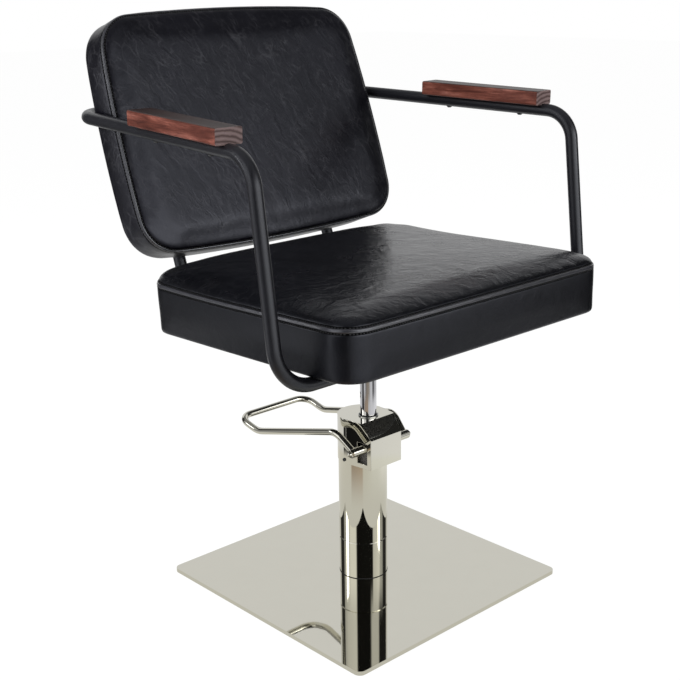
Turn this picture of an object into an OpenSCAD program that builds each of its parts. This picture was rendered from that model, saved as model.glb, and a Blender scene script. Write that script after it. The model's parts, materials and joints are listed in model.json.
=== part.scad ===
// Hairdressing chair: hydraulic column on a square plate, tube frame, upholstered seat and back.
// Origin: centre of the column on the floor. +Z up, the sitter faces -Y.

/* [Base] */
// Side of the square base plate
base_side = 480; // [420:5:560]
// Radius of the base plate's corners
base_corner = 12; // [6:1:40]
// Height of the base plate's top above the floor
base_top = 8; // [7:0.5:14]
// Thickness of the polished sheet
sheet_t = 1.2; // [0.8:0.1:1.6]

/* [Column] */
// Diameter of the chrome jacket
jacket_d = 84; // [82:1:94]
// Height of the seam between the lower sleeve and the jacket
seam_z = 75; // [50:1:110]
// Height of the pump cover's flat top
cap_z = 301.5; // [295:0.5:340]
// Diameter of the ram
ram_d = 28; // [24:0.5:30]
// Forward offset of the ram from the column's axis
ram_off = 14.6; // [13:0.2:16]
// Stroke of the ram
stroke = 150; // [120:5:160]
// How far the ram stands above its lowest position
rest_lift = 115; // [60:1:118]

/* [Pump housing and pedal] */
// Width of the folded housing at the front of the cover
housing_w = 72; // [70:0.5:80]
// Distance from the column's axis to the housing's front
housing_y = 57.5; // [55:0.5:66]
// Length of the housing's side below the sloped top
housing_drop = 79.5; // [76:0.5:84]
// Rod of the pedal
pedal_d = 10; // [8:0.5:12]
// Width of the pedal's crossbar between rod centres
pedal_w = 160; // [140:2:200]
// Distance from the column's axis to the crossbar
pedal_reach = 240; // [200:5:280]

/* [Seat] */
// Width of the seat cushion
seat_w = 580; // [500:5:600]
// Depth of the seat cushion
seat_d = 476; // [420:4:520]
// Height of the seat's underside at its middle
seat_z = 475.2; // [470:0.2:500]
// Height of the boxed side up to the seam
seat_side = 77; // [55:1:95]
// Rise of the crown above the seam
seat_crown = 29; // [22:1:36]
// Extra height of the crown along the rear edge
rear_rise = 13; // [0:1:18]
// Rearward slope of the seat in degrees
seat_tilt = 1.7; // [0:0.1:3]
// Corner radius of the cushion in plan
seat_r = 42; // [30:1:60]

/* [Backrest] */
// How far the backrest's sides stand inside the seat's
back_inset = 6; // [0:1:20]
// Height of the backrest along its slope
back_h = 404; // [340:4:460]
// Thickness of the backrest at its seams
back_t = 54; // [50:1:62]
// Lean of the backrest from upright in degrees
back_tilt = 19; // [14:0.2:22]
// Rise of the crown on the front face
back_crown = 13; // [6:1:22]
// Corner radius of the backrest
back_r = 56; // [40:1:80]

/* [Frame] */
// Diameter of the frame tube
tube_d = 21; // [19:0.5:24]
// Gap between the seat's side and the arm tube
arm_gap = 44.5; // [36:0.5:60]
// Height of the arm tube at its front bend
arm_z = 791; // [760:1:840]
// Length of the wooden arm pads
pad_l = 246; // [200:2:300]
// Width of the wooden arm pads
pad_w = 44; // [36:1:56]
// Height of the wooden arm pads
pad_h = 24; // [18:1:30]

/* [Hidden] */
$fn = 64;
eps = 0.01;

// base and column
glide_t = 2;
weight_z = base_top - sheet_t;
jr = jacket_d / 2;
sleeve_in = jr - 1;
tank_r = sleeve_in - 1;
tank_in = tank_r - 2.5;
foot_top = weight_z + 13.2;
cover_t = 1.5;
head_z = cap_z - housing_drop;
head_top = head_z + 22;
tower_top = cap_z - cover_t;
bore_r = ram_d / 2 + 1;
cyl_r = bore_r + 2.5;
tower_r = ram_d / 2 + 4;
bush_r = ram_d / 2 + 2;
cyl_z = foot_top + 4;
skirt_in = jr + 0.1;
skirt_r = jr + 1.1;
run = 0.05;
ram_y = -ram_off;

// pump mechanism
axle_y = ram_y - tower_r - 8.9;
axle_z = cap_z - 44.5;
axle_d = 12;
press = 18; // travel of the pedal in degrees
arm_len = 21.5;
lever_y = axle_y + arm_len;
lever_w = 7;
hub_r = 8.5;
tip_r = 5;
pin_d = 8;
well_r = 6;
lever_x = sqrt(pow(tower_r + well_r + 0.2, 2) - pow(lever_y - ram_y, 2));
ear_in = lever_x + lever_w / 2 + 0.4;
ear_out = housing_w / 2 - cover_t - 0.5;
boss_in = housing_w / 2 + 2;
boss_out = boss_in + 28;

// ram: its washer meets the guide bush at the top of the stroke
bush_z = head_z + 16.2;
low_z = bush_z - 18 - stroke;
rod_bot = low_z + rest_lift;
rod_top = seat_z - 10;
spigot_d = 18;

// seat frame: origin at the middle of the seat's underside, tilted about X
seat_y = -41.2;
tube_r = tube_d / 2;
tube_wall = 1.5;
cloth_t = 0.6;
rail_z = -cloth_t - tube_r;
fold_t = 1.6; // cover turned in under the board
board_t = 15;
skin = 2;
rail_x = 170.5;
plate_t = 5;
plate_w = 200;

// backrest frame: X across, V up the face, W rearward from the front seam
back_y = 197.8;
back_z = 582.8;
back_board_t = 12;
panel_t = 4;
standoff = 14.5;
post_w = back_t + standoff + tube_r;
loop_v = 260.5;
back_w = seat_w - 2 * back_inset;
arm_w = seat_w + 2 * (arm_gap + tube_r);

ct = cos(seat_tilt);
st = sin(seat_tilt);
cb = cos(back_tilt);
sb = sin(back_tilt);
function seat_pt(x, y, z) = [x, seat_y + y * ct + z * st, seat_z - y * st + z * ct];
function back_pt(x, v, w) = [x, back_y + v * sb + w * cb, back_z + v * cb - w * sb];

// loop corners: under the seat, top of the front leg, behind the backrest
leg_y = 88 - seat_d / 2;
low_pt = seat_pt(arm_w / 2 - 3, leg_y, rail_z);
rear_pt = back_pt(back_w / 2 + tube_r + 2.5, loop_v, post_w);
arm_pt = [arm_w / 2, low_pt[1] + 39, arm_z];

// where the tilted rail meets the post's line
rail_a = seat_pt(0, 0, rail_z);
post_v = (rail_a[2] - back_z + post_w * sb - tan(seat_tilt) * (back_y + post_w * cb - rail_a[1]))
  / (cb + tan(seat_tilt) * sb);
elbow = back_pt(rail_x, post_v, post_w);

module seat_frame() { translate([0, seat_y, seat_z]) rotate([-seat_tilt, 0, 0]) children(); }
module back_frame() { translate([0, back_y, back_z]) rotate([-back_tilt, 0, 0]) children(); }

// vector helpers
function unit(v) = v / norm(v);
function turn(a, b) = acos(unit(a) * unit(b));
function flip(p) = [-p[0], p[1], p[2]];

// a straight round bar from a to b
module bar(a, b, r) {
  d = b - a;
  translate(a) rotate([0, acos(d[2] / norm(d)), atan2(d[1], d[0])]) cylinder(h = norm(d), r = r);
}

// the bend of a round bar at corner c, coming from a and leaving to b;
// it is a hair thicker and laps over the straight runs, as a swage does
module bend(a, c, b, br, r) {
  u = unit(c - a);
  v = unit(b - c);
  ang = turn(u, v);
  tl = br * tan(ang / 2);
  n = unit(cross(u, v));
  inw = unit(v - u);
  ctr = c + inw * br / cos(ang / 2);
  x = unit(c - u * tl - ctr);
  y = cross(n, x);
  lap = 0.6 / br * 57.3;
  multmatrix([[x[0], y[0], n[0], ctr[0]], [x[1], y[1], n[1], ctr[1]], [x[2], y[2], n[2], ctr[2]],
    [0, 0, 0, 1]])
    rotate(-lap) rotate_extrude(angle = ang + 2 * lap, $fn = 96) translate([br, 0]) circle(r = r + 0.06);
}

// a bent bar through pts with bend radii br at the inner points
module bent(pts, br, r, closed = false) {
  n = len(pts);
  function tang(i) = let (a = pts[(i + n - 1) % n], c = pts[i], b = pts[(i + 1) % n])
    br[i] == 0 ? 0 : br[i] * tan(turn(c - a, b - c) / 2);
  for (i = [0 : closed ? n - 1 : n - 2]) {
    a = pts[i];
    b = pts[(i + 1) % n];
    u = unit(b - a);
    bar(a + u * tang(i), b - u * tang((i + 1) % n), r);
  }
  for (i = [0 : n - 1]) if (br[i] > 0) bend(pts[(i + n - 1) % n], pts[i], pts[(i + 1) % n], br[i], r);
}

// flat shape with four round corners, drawn so that its corners stay true arcs
module round_rect(w, d, r) {
  square([w - 2 * r, d], center = true);
  square([w, d - 2 * r], center = true);
  for (x = [-1, 1], y = [-1, 1]) translate([x * (w / 2 - r), y * (d / 2 - r)]) circle(r = r);
}

// ring between two radii
module ring(r_out, r_in, h) {
  difference() {
    cylinder(h = h, r = r_out);
    translate([0, 0, -1]) cylinder(h = h + 2, r = r_in);
  }
}

// hexagon head with a shank, pointing up, head below z = 0
module hex_bolt(d, len, head, head_h) {
  translate([0, 0, -head_h]) cylinder(h = head_h, r = head / sqrt(3), $fn = 6);
  translate([0, 0, -eps]) cylinder(h = len + eps, r = d / 2);
}

// base
foot_r = 30;
tie_r = tank_in - 5.5;
tie_d = 6;
tie_a = [20, 90, 160];
screw_z = cap_z - housing_drop + 6;

module base_cover() {
  color("gainsboro") difference() {
    translate([0, 0, 1]) linear_extrude(base_top - 1) round_rect(base_side, base_side, base_corner);
    translate([0, 0, 0]) linear_extrude(weight_z)
      round_rect(base_side - 2 * sheet_t, base_side - 2 * sheet_t, base_corner - sheet_t);
    cylinder(h = 40, r = sleeve_in);
  }
}

module base_weight() {
  s = base_side - 2 * sheet_t - 2;
  color("dimgray") difference() {
    translate([0, 0, glide_t]) linear_extrude(weight_z - glide_t) round_rect(s, s, base_corner - sheet_t);
    for (a = [45 : 90 : 315]) rotate(a) translate([foot_r, 0, 0]) {
      cylinder(h = 20, r = 4.2);
      translate([0, 0, glide_t - eps]) cylinder(h = 4, r1 = 8.2, r2 = 4.2);
    }
  }
}

module base_glides() {
  p = base_side / 2 - 40;
  color("black") {
    for (x = [-p, p], y = [-p, p]) translate([x, y, 0]) cylinder(h = glide_t, r = 20);
    cylinder(h = glide_t, r = 16);
  }
}

module foot_bolts() {
  color("silver") for (a = [45 : 90 : 315]) rotate(a) translate([foot_r, 0, glide_t]) {
    cylinder(h = 3.9, r1 = 8, r2 = 4);
    cylinder(h = foot_top - glide_t - 2, r = 4);
  }
}

// column
module pump_foot() {
  color("gray") difference() {
    union() {
      translate([0, 0, weight_z]) cylinder(h = foot_top - weight_z, r = sleeve_in - 0.1);
      translate([0, ram_y, foot_top - 1]) cylinder(h = 13, r = cyl_r + 3);
    }
    translate([0, ram_y, cyl_z]) cylinder(h = 40, r = cyl_r);
    for (a = [45 : 90 : 315]) rotate(a) translate([foot_r, 0, 0]) cylinder(h = foot_top - 1.5, r = 4);
    for (a = tie_a) rotate(a) translate([tie_r, 0, foot_top - 9]) cylinder(h = 20, r = tie_d / 2);
  }
}

module column_sleeve() {
  color("silver") translate([0, 0, base_top]) difference() {
    union() {
      cylinder(h = seam_z - base_top - 1, r = jr);
      translate([0, 0, seam_z - base_top - 1]) cylinder(h = 1, r1 = jr, r2 = jr - 0.6);
    }
    translate([0, 0, -1]) cylinder(h = seam_z, r = sleeve_in);
  }
}

module column_jacket() {
  color("silver") difference() {
    union() {
      translate([0, 0, seam_z]) cylinder(h = 1, r1 = jr - 0.6, r2 = jr);
      translate([0, 0, seam_z + 1]) cylinder(h = head_z + 9 - seam_z, r = jr);
    }
    translate([0, 0, seam_z - 1]) cylinder(h = 300, r = sleeve_in);
    translate([-housing_w / 2 + cover_t, -60, head_z - 0.5]) cube([housing_w - 2 * cover_t, 60, 40]);
    cover_screw_hole(1.7);
  }
}

module oil_tank() {
  color("darkgray") translate([0, 0, foot_top]) ring(tank_r, tank_in, head_z - foot_top);
}

module pressure_cylinder() {
  color("lightgray") translate([0, ram_y, cyl_z]) ring(cyl_r, bore_r, head_z + 16 - cyl_z);
}

// cast head: disc on the tank, nose and ears for the axle, tower round the ram
module pump_head() {
  color("gray") difference() {
    union() {
      translate([0, 0, head_z]) cylinder(h = head_top - head_z, r = sleeve_in - 0.1);
      translate([-ear_out, axle_y - 9, head_z]) cube([2 * ear_out, 9 - axle_y, head_top - head_z]);
      translate([0, ram_y, head_top - 1]) cylinder(h = tower_top - head_top + 1, r = tower_r);
      for (s = [-1, 1]) translate([s * (ear_in + ear_out) / 2, axle_y, 0]) rotate([90, 0, 90])
        translate([0, 0, (ear_in - ear_out) / 2]) {
          translate([-9, head_top - 1]) cube([18, axle_z - head_top + 1, ear_out - ear_in]);
          translate([0, axle_z]) cylinder(h = ear_out - ear_in, r = 9);
        }
    }
    translate([0, ram_y, head_z - 1]) cylinder(h = 17, r = cyl_r);
    translate([0, ram_y, head_z]) cylinder(h = 100, r = bush_r);
    translate([-50, axle_y, axle_z]) rotate([0, 90, 0]) cylinder(h = 100, r = axle_d / 2 + run);
    for (s = [-1, 1]) translate([s * lever_x, lever_y, head_z - 1]) {
      cylinder(h = 40, r = pin_d / 2 + run);
      translate([0, 0, 7]) cylinder(h = 40, r = well_r);
    }
    for (a = tie_a) rotate(a) translate([tie_r, 0, head_z - 1]) cylinder(h = 40, r = tie_d / 2 + 0.2);
    cover_screw_hole(1.5);
  }
}

// long bolts that clamp the tank between the foot and the head
module head_bolts() {
  color("dimgray") for (a = tie_a) rotate(a) translate([tie_r, 0, 0]) {
    translate([0, 0, foot_top - 9]) cylinder(h = head_top - foot_top + 9, r = tie_d / 2);
    translate([0, 0, head_top]) difference() {
      cylinder(h = 6, r = 5);
      translate([0, 0, 3]) cylinder(h = 6, r = 2.9, $fn = 6);
    }
  }
}

module guide_bush() {
  color("goldenrod") translate([0, ram_y, bush_z])
    ring(bush_r, ram_d / 2 + run, tower_top - 13.8 - bush_z);
}

module rod_seal() {
  color("black") translate([0, ram_y, tower_top - 13.6]) ring(bush_r, ram_d / 2 + 0.1, 5);
}

module gland_ring() {
  color("silver") translate([0, ram_y, 0]) difference() {
    union() {
      translate([0, 0, tower_top - 8.4]) cylinder(h = 9, r = bush_r);
      translate([0, 0, cap_z]) cylinder(h = 1.8, r = tower_r - 1);
      translate([0, 0, tower_top]) cylinder(h = cap_z - tower_top + 0.2, r = bush_r);
    }
    cylinder(h = 400, r = ram_d / 2 + 0.3);
    translate([0, 0, cap_z + 0.6]) cylinder(h = 5, r = bush_r - 0.4);
  }
}

module wiper_ring() {
  color("black") translate([0, ram_y, cap_z + 0.7]) difference() {
    union() {
      cylinder(h = 1.2, r = bush_r - 0.5);
      translate([0, 0, 1.2]) cylinder(h = 1.2, r1 = bush_r - 0.5, r2 = ram_d / 2 + 0.6);
    }
    translate([0, 0, -1]) cylinder(h = 5, r = ram_d / 2 + 0.1);
  }
}

// plunger pump and its release valve, hung under the head
module pump_barrel() {
  color("lightgray") translate([lever_x, lever_y, head_z - 46]) difference() {
    cylinder(h = 46, r = well_r - 0.4);
    translate([0, 0, 4]) cylinder(h = 60, r = pin_d / 2 + run);
    cylinder(h = 20, r = 1.2);
  }
}

// the valve's stem ends just under its lever when the pedal is fully down
module release_valve() {
  stem_top = axle_z - (arm_len - 3) * sin(press) - tip_r - 0.5;
  color("goldenrod") translate([-lever_x, lever_y, 0]) {
    translate([0, 0, head_z - 20]) cylinder(h = 20, r = well_r - 0.4);
    translate([0, 0, head_z - 1]) cylinder(h = 8, r = pin_d / 2);
    translate([0, 0, head_z + 6]) cylinder(h = 6, r = well_r - 0.5, $fn = 6);
    translate([0, 0, head_z + 11]) cylinder(h = stem_top - head_z - 11, r = 2.5);
  }
}

// outline of the cover in plan: round cap with a square nose
module cover_plan(r, hw, hy) {
  circle(r = r, $fn = 96);
  translate([-hw, -hy + 2]) square([2 * hw, hy - 2]);
  translate([-hw + 2, -hy]) square([2 * hw - 4, hy]);
  for (s = [-1, 1]) translate([s * (hw - 2), -hy + 2]) circle(r = 2, $fn = 24);
}

// the nose's top falls away in front of the cap
module nose_cut(inset) {
  y1 = -housing_y + 19.5;
  y2 = -housing_y;
  k = inset * 1.3;
  translate([-60, 0, 0]) rotate([90, 0, 90]) linear_extrude(120)
    polygon([[y1 + k * 0.4, cap_z + 1], [y1 + k * 0.4, cap_z - inset], [y2, cap_z - 27 - k],
      [y2 - 20, cap_z - 27 - k], [y2 - 20, cap_z + 1]]);
}

module pump_cover() {
  z0 = cap_z - housing_drop;
  hw = housing_w / 2;
  color("silver") difference() {
    difference() {
      translate([0, 0, z0]) linear_extrude(cap_z - z0) cover_plan(skirt_r, hw, housing_y);
      nose_cut(0);
    }
    difference() {
      translate([0, 0, z0 - 1]) linear_extrude(cap_z - cover_t - z0 + 1)
        cover_plan(skirt_in, hw - cover_t, housing_y - cover_t);
      nose_cut(cover_t);
    }
    translate([0, ram_y, cap_z - 10]) cylinder(h = 20, r = bush_r + 0.1);
    for (s = [-1, 1]) translate([s * hw - 4, axle_y - 8, axle_z - 28]) cube([8, 22, 38]);
    cover_screw_hole(1.7);
  }
}

module cover_screw_hole(r) {
  translate([-skirt_r - 1, 0, screw_z]) rotate([0, 90, 0]) cylinder(h = 12, r = r);
}

module cover_screw() {
  color("dimgray") translate([-skirt_r, 0, screw_z]) rotate([0, 90, 0]) difference() {
    union() {
      translate([0, 0, -1.6]) cylinder(h = 1.6, r = 3);
      translate([0, 0, -0.5]) cylinder(h = 11, r = 1.5);
    }
    translate([0, 0, -2.6]) cylinder(h = 2, r = 1.3, $fn = 6);
  }
}

// plunger and its spring
head_gap = 0.4;
plunger_top = axle_z - tip_r - head_gap;

module plunger() {
  color("silver") translate([lever_x, lever_y, 0]) {
    translate([0, 0, head_z - 30]) cylinder(h = plunger_top - head_z + 28, r = pin_d / 2);
    translate([0, 0, plunger_top - 3]) cylinder(h = 3, r = well_r - 0.4);
  }
}

// a coil swept as one tube: turns, mean radius, height, wire radius
function coil_pt(t, r, h, n) = [r * cos(360 * n * t), r * sin(360 * n * t), h * t];
module coil(r, h, n, wire, step = 12) {
  m = n * step;
  k = 6;
  pts = [for (i = [0 : m]) let (t = i / m, a = 360 * n * t, c = coil_pt(t, r, h, n))
    for (j = [0 : k - 1]) let (p = 360 * j / k)
      c + wire * cos(p) * [cos(a), sin(a), 0] + wire * sin(p) * [0, 0, 1]];
  faces = concat([[for (j = [0 : k - 1]) j]], [[for (j = [k - 1 : -1 : 0]) m * k + j]],
    [for (i = [0 : m - 1], j = [0 : k - 1], q = [0, 1]) let (a = i * k + j, b = i * k + (j + 1) % k)
      q == 0 ? [a, a + k, b] : [b, a + k, b + k]]);
  polyhedron(points = pts, faces = faces, convexity = 10);
}

module plunger_spring() {
  h = plunger_top - 3 - (head_z + 6);
  color("darkgray") translate([lever_x, lever_y, head_z + 6.7]) coil(pin_d / 2 + 0.85, h - 1.4, 6, 0.6);
}

// pedal
pw = pedal_w / 2;
boss_r = 8;
rod_x = boss_out - pedal_d / 2;
pedal_side = [[rod_x, axle_y, axle_z], [rod_x + 7, axle_y + 35.5, axle_z + 30],
  [pw - 1, pedal_reach - 52, axle_z - 19], [pw, pedal_reach, axle_z - 6]];
pedal_pts = concat([for (p = pedal_side) flip(p)], [for (i = [3 : -1 : 0]) pedal_side[i]]);

module pedal_bar() {
  color("silver") difference() {
    bent(pedal_pts, [0, 22, 40, 12, 12, 40, 22, 0], pedal_d / 2);
    translate([-80, axle_y, axle_z]) rotate([0, 90, 0]) cylinder(h = 160, r = boss_r);
  }
}

module pedal_axle() {
  color("silver") translate([-boss_out, axle_y, axle_z]) rotate([0, 90, 0]) {
    cylinder(h = 2 * boss_out, r = axle_d / 2);
  }
}

module pedal_bosses() {
  color("silver") for (s = [-1, 1]) translate([s > 0 ? boss_in : -boss_out, axle_y, axle_z])
    rotate([0, 90, 0]) ring(boss_r, axle_d / 2, boss_out - boss_in);
}

module axle_nuts() {
  color("silver") for (s = [-1, 1]) translate([s * boss_out, axle_y, axle_z]) rotate([0, s * 90, 0]) {
    cylinder(h = 3, r = 6.5, $fn = 6);
    translate([0, 0, 3]) difference() {
      sphere(r = 4.6, $fn = 32);
      translate([0, 0, -10]) cube(20, center = true);
    }
  }
}

// lever on the axle; its round tip presses the pin below it
module axle_lever(tip) {
  translate([0, axle_y, axle_z]) rotate([90, 0, 90]) translate([0, 0, -lever_w / 2]) difference() {
    union() {
      cylinder(h = lever_w, r = hub_r);
      translate([0, -tip_r + 1]) cube([tip, 2 * tip_r - 2, lever_w]);
      translate([tip, 0, 0]) cylinder(h = lever_w, r = tip_r);
    }
    translate([0, 0, -1]) cylinder(h = lever_w + 2, r = axle_d / 2);
  }
}

module pump_lever() { color("dimgray") translate([lever_x, 0, 0]) axle_lever(arm_len); }
module release_lever() { color("dimgray") translate([-lever_x, 0, 0]) axle_lever(arm_len - 3); }

module pedal_spring() {
  color("darkgray") translate([-9, axle_y, axle_z]) rotate([0, 90, 0]) coil(7.1, 18, 8, 0.7);
}

// ram
module ram_piston() {
  color("darkgray") translate([0, ram_y, rod_bot - 16]) difference() {
    cylinder(h = 32, r = bore_r - run);
    translate([0, 0, 8]) cylinder(h = 40, r = spigot_d / 2 + run);
    translate([0, 0, 4]) ring(bore_r + 1, bore_r - 2.4, 4);
  }
}

module piston_seal() {
  color("black") translate([0, ram_y, rod_bot - 12]) ring(bore_r - 0.03, bore_r - 2.4, 4);
}

module thrust_washer() {
  color("goldenrod") translate([0, ram_y, rod_bot + 16]) ring(ram_d / 2 - 0.5, spigot_d / 2 + 0.3, 1.6);
}

module ram_rod() {
  color("silver") translate([0, ram_y, 0]) {
    translate([0, 0, rod_bot - 6]) cylinder(h = 30, r = spigot_d / 2);
    translate([0, 0, rod_bot + 17.7]) cylinder(h = rod_top - 42 - rod_bot - 17.7, r = ram_d / 2);
    translate([0, 0, rod_top - 42]) cylinder(h = 42, r1 = ram_d / 2, r2 = ram_d / 2 - 2);
  }
}

// seat hub: plate under the board, socket on the ram's taper, four ribs
bolt_x = 80;
bolt_y = 60;
hub_y = ram_y - seat_y;

module hub_holes(r) {
  for (x = [-bolt_x, bolt_x], y = [-bolt_y, bolt_y]) translate([x, hub_y + y, 0])
    cylinder(h = 60, r = r, center = true);
}

// the space below the middle of the plate's thickness
module under_plate() {
  seat_frame() translate([-200, -200, -200]) cube([400, 400, 200 - cloth_t - plate_t / 2]);
}

module seat_hub() {
  color("#1c1c1e") difference() {
    union() {
      seat_frame() translate([0, hub_y, -cloth_t - plate_t]) linear_extrude(plate_t)
        round_rect(plate_w, 160, 14);
      intersection() {
        translate([0, ram_y, rod_top - 40]) cylinder(h = 60, r = 25);
        under_plate();
      }
      intersection() {
        translate([0, ram_y, 0]) for (a = [0, 90]) rotate(a) rotate([90, 0, 0])
          linear_extrude(6, center = true) polygon([[-74, rod_top + 20], [74, rod_top + 20], [74, rod_top - 4],
            [24, rod_top - 34], [-24, rod_top - 34], [-74, rod_top - 4]]);
        under_plate();
      }
    }
    translate([0, ram_y, rod_top - 42]) cylinder(h = 42.5, r1 = ram_d / 2 + 0.03, r2 = ram_d / 2 - 1.97);
    seat_frame() hub_holes(4.3);
  }
}

module hub_bolts() {
  color("dimgray") seat_frame() for (x = [-bolt_x, bolt_x], y = [-bolt_y, bolt_y])
    translate([x, hub_y + y, -cloth_t - plate_t]) hex_bolt(8, plate_t + cloth_t + board_t, 13, 5.3);
}

// frame
cross_x = low_pt[0] - 80;
weld_pt = [cross_x, low_pt[1], low_pt[2]];
loop_pts = [flip(weld_pt), flip(low_pt), flip(arm_pt), flip(rear_pt), rear_pt, arm_pt, low_pt, weld_pt];
loop_br = [0, 62, 51, 54, 54, 51, 62, 0];
arm_dir = unit(rear_pt - arm_pt);
pad_s = [54 + 0.19 * pad_l, 54 + 0.81 * pad_l];
arm_turn = atan2(-arm_dir[0], arm_dir[1]);
arm_rise = asin(arm_dir[2]);

// right arm's own frame: Y rearward along the tube, origin at the front corner
module arm_frame() { translate(arm_pt) rotate([arm_rise, 0, arm_turn]) children(); }
module both_arms() { arm_frame() children(); mirror([1, 0, 0]) arm_frame() children(); }

back_bolt_v = [70, 205];

module frame_loop() {
  color("#1c1c1e") difference() {
    bent(loop_pts, loop_br, tube_r);
    bent(loop_pts, loop_br, tube_r - tube_wall);
    both_arms() for (y = pad_s) translate([0, y, 0]) cylinder(h = 60, r = 2.6, center = true);
  }
}

// tube across under the seat, butted to the loop's two lower ends
module frame_cross() {
  color("#1c1c1e") translate([-cross_x, low_pt[1], low_pt[2]]) rotate([0, 90, 0]) difference() {
    cylinder(h = 2 * cross_x, r = tube_r);
    translate([0, 0, -1]) cylinder(h = 2 * cross_x + 2, r = tube_r - tube_wall);
  }
}

module rail_tube(r) {
  s = seat_pt(rail_x, leg_y, rail_z);
  e = back_pt(rail_x, loop_v, post_w);
  bent([s, elbow, e], [0, 55, 0], r);
}

rail_bolt_y = [leg_y + 35, 110];

module frame_rail(side) {
  color("#1c1c1e") mirror([side < 0 ? 1 : 0, 0, 0]) difference() {
    rail_tube(tube_r);
    rail_tube(tube_r - tube_wall);
    for (p = [low_pt, rear_pt]) translate([rail_x - 30, p[1], p[2]]) rotate([0, 90, 0])
      cylinder(h = 60, r = tube_r + 0.02);
    seat_frame() for (y = rail_bolt_y) translate([rail_x, y, rail_z]) cylinder(h = 60, r = 3.3, center = true);
    back_frame() for (v = back_bolt_v) translate([rail_x, 0, v]) rotate([-90, 0, 0]) cylinder(h = 200, r = 4.2);
  }
}
module frame_rail_left() { frame_rail(-1); }
module frame_rail_right() { frame_rail(1); }

// where a bolt crosses a rail (y: its place along the seat) or a post (v: up the back);
// local Y runs along the tube and local Z towards the cushion
module at_rails() {
  seat_frame() for (x = [-rail_x, rail_x], y = rail_bolt_y) translate([x, y, rail_z]) children();
}
module at_posts() {
  back_frame() for (x = [-rail_x, rail_x], v = back_bolt_v) translate([x, post_w, v])
    rotate([90, 0, 0]) children();
}

module rail_bolts() {
  color("dimgray") at_rails() translate([0, 0, -tube_r - saddle_t])
    hex_bolt(6, 2 * tube_r + saddle_t + cloth_t + board_t, 10, 4);
}

// washer that is hollowed to sit on the round tube
saddle_t = 1.5;
module saddle_washer(bore) {
  difference() {
    translate([0, 0, -tube_r - saddle_t]) cylinder(h = saddle_t + 2.5, r = 7);
    rotate([90, 0, 0]) cylinder(h = 40, r = tube_r + 0.02, center = true);
    translate([0, 0, -tube_r - saddle_t - 1]) cylinder(h = 20, r = bore);
  }
}

module saddle_washers() {
  color("#1c1c1e") {
    at_rails() saddle_washer(3.1);
    at_posts() saddle_washer(4.1);
  }
}

// seat
board_top = fold_t + board_t;
module seat_board() {
  color("burlywood") seat_frame() difference() {
    union() {
      translate([0, 0, fold_t]) linear_extrude(board_t) round_rect(seat_w - 20, seat_d - 20, seat_r - 4);
      linear_extrude(fold_t + 1) round_rect(seat_w - 72, seat_d - 72, 9);
    }
    at_seat_nuts() {
      translate([0, 0, -30]) cylinder(h = 60, r = 4.9);
      translate([0, 0, -1.6]) cylinder(h = 5, r = 10.1);
    }
  }
}

// tops of the seat board's nuts, in the seat's own frame
module at_seat_nuts() {
  for (x = [-bolt_x, bolt_x], y = [-bolt_y, bolt_y]) translate([x, hub_y + y, board_top]) children();
  for (x = [-rail_x, rail_x], y = rail_bolt_y) translate([x, y, board_top]) children();
}

module tee_nut(r, len) {
  difference() {
    union() {
      translate([0, 0, -len]) cylinder(h = len, r = 4.85);
      cylinder(h = 1.5, r = 10);
    }
    translate([0, 0, -len - 1]) cylinder(h = len + 4, r = r + 0.05);
  }
}

module seat_tee_nuts() {
  color("silver") seat_frame() {
    for (x = [-bolt_x, bolt_x], y = [-bolt_y, bolt_y]) translate([x, hub_y + y, board_top - 1.6]) tee_nut(4, 10);
    for (x = [-rail_x, rail_x], y = rail_bolt_y) translate([x, y, board_top - 1.6]) tee_nut(3, 10);
  }
}

// cushion forms
// point k of an outline of n points: round corners, sides that bow out by bx and by, top that tapers
function corner_pt(i, m, hx, hy, r) = let (q = floor(i / (m + 1)), a = 90 * q + 90 * (i % (m + 1)) / m,
  sx = (q == 0 || q == 3) ? 1 : -1, sy = q < 2 ? 1 : -1)
  [sx * (hx - r) + r * cos(a), sy * (hy - r) + r * sin(a)];
function rect_pts(hx, hy, r, m, e) = [for (q = [0 : 3]) each concat(
  [for (i = [0 : m]) corner_pt(q * (m + 1) + i, m, hx, hy, r)],
  let (a = corner_pt(q * (m + 1) + m, m, hx, hy, r), b = corner_pt(((q + 1) % 4) * (m + 1), m, hx, hy, r))
    [for (j = [1 : e]) a + (b - a) * j / (e + 1)])];
function shaped(p, hx, hy, bow, taper) = [
  (p[0] * (1 - taper * p[1] / hy)) * (1 + bow[0] / hx * (1 - pow(p[1] / hy, 2))),
  p[1] * (1 + bow[1] / hy * (1 - pow(p[0] / hx, 2)))];

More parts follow.
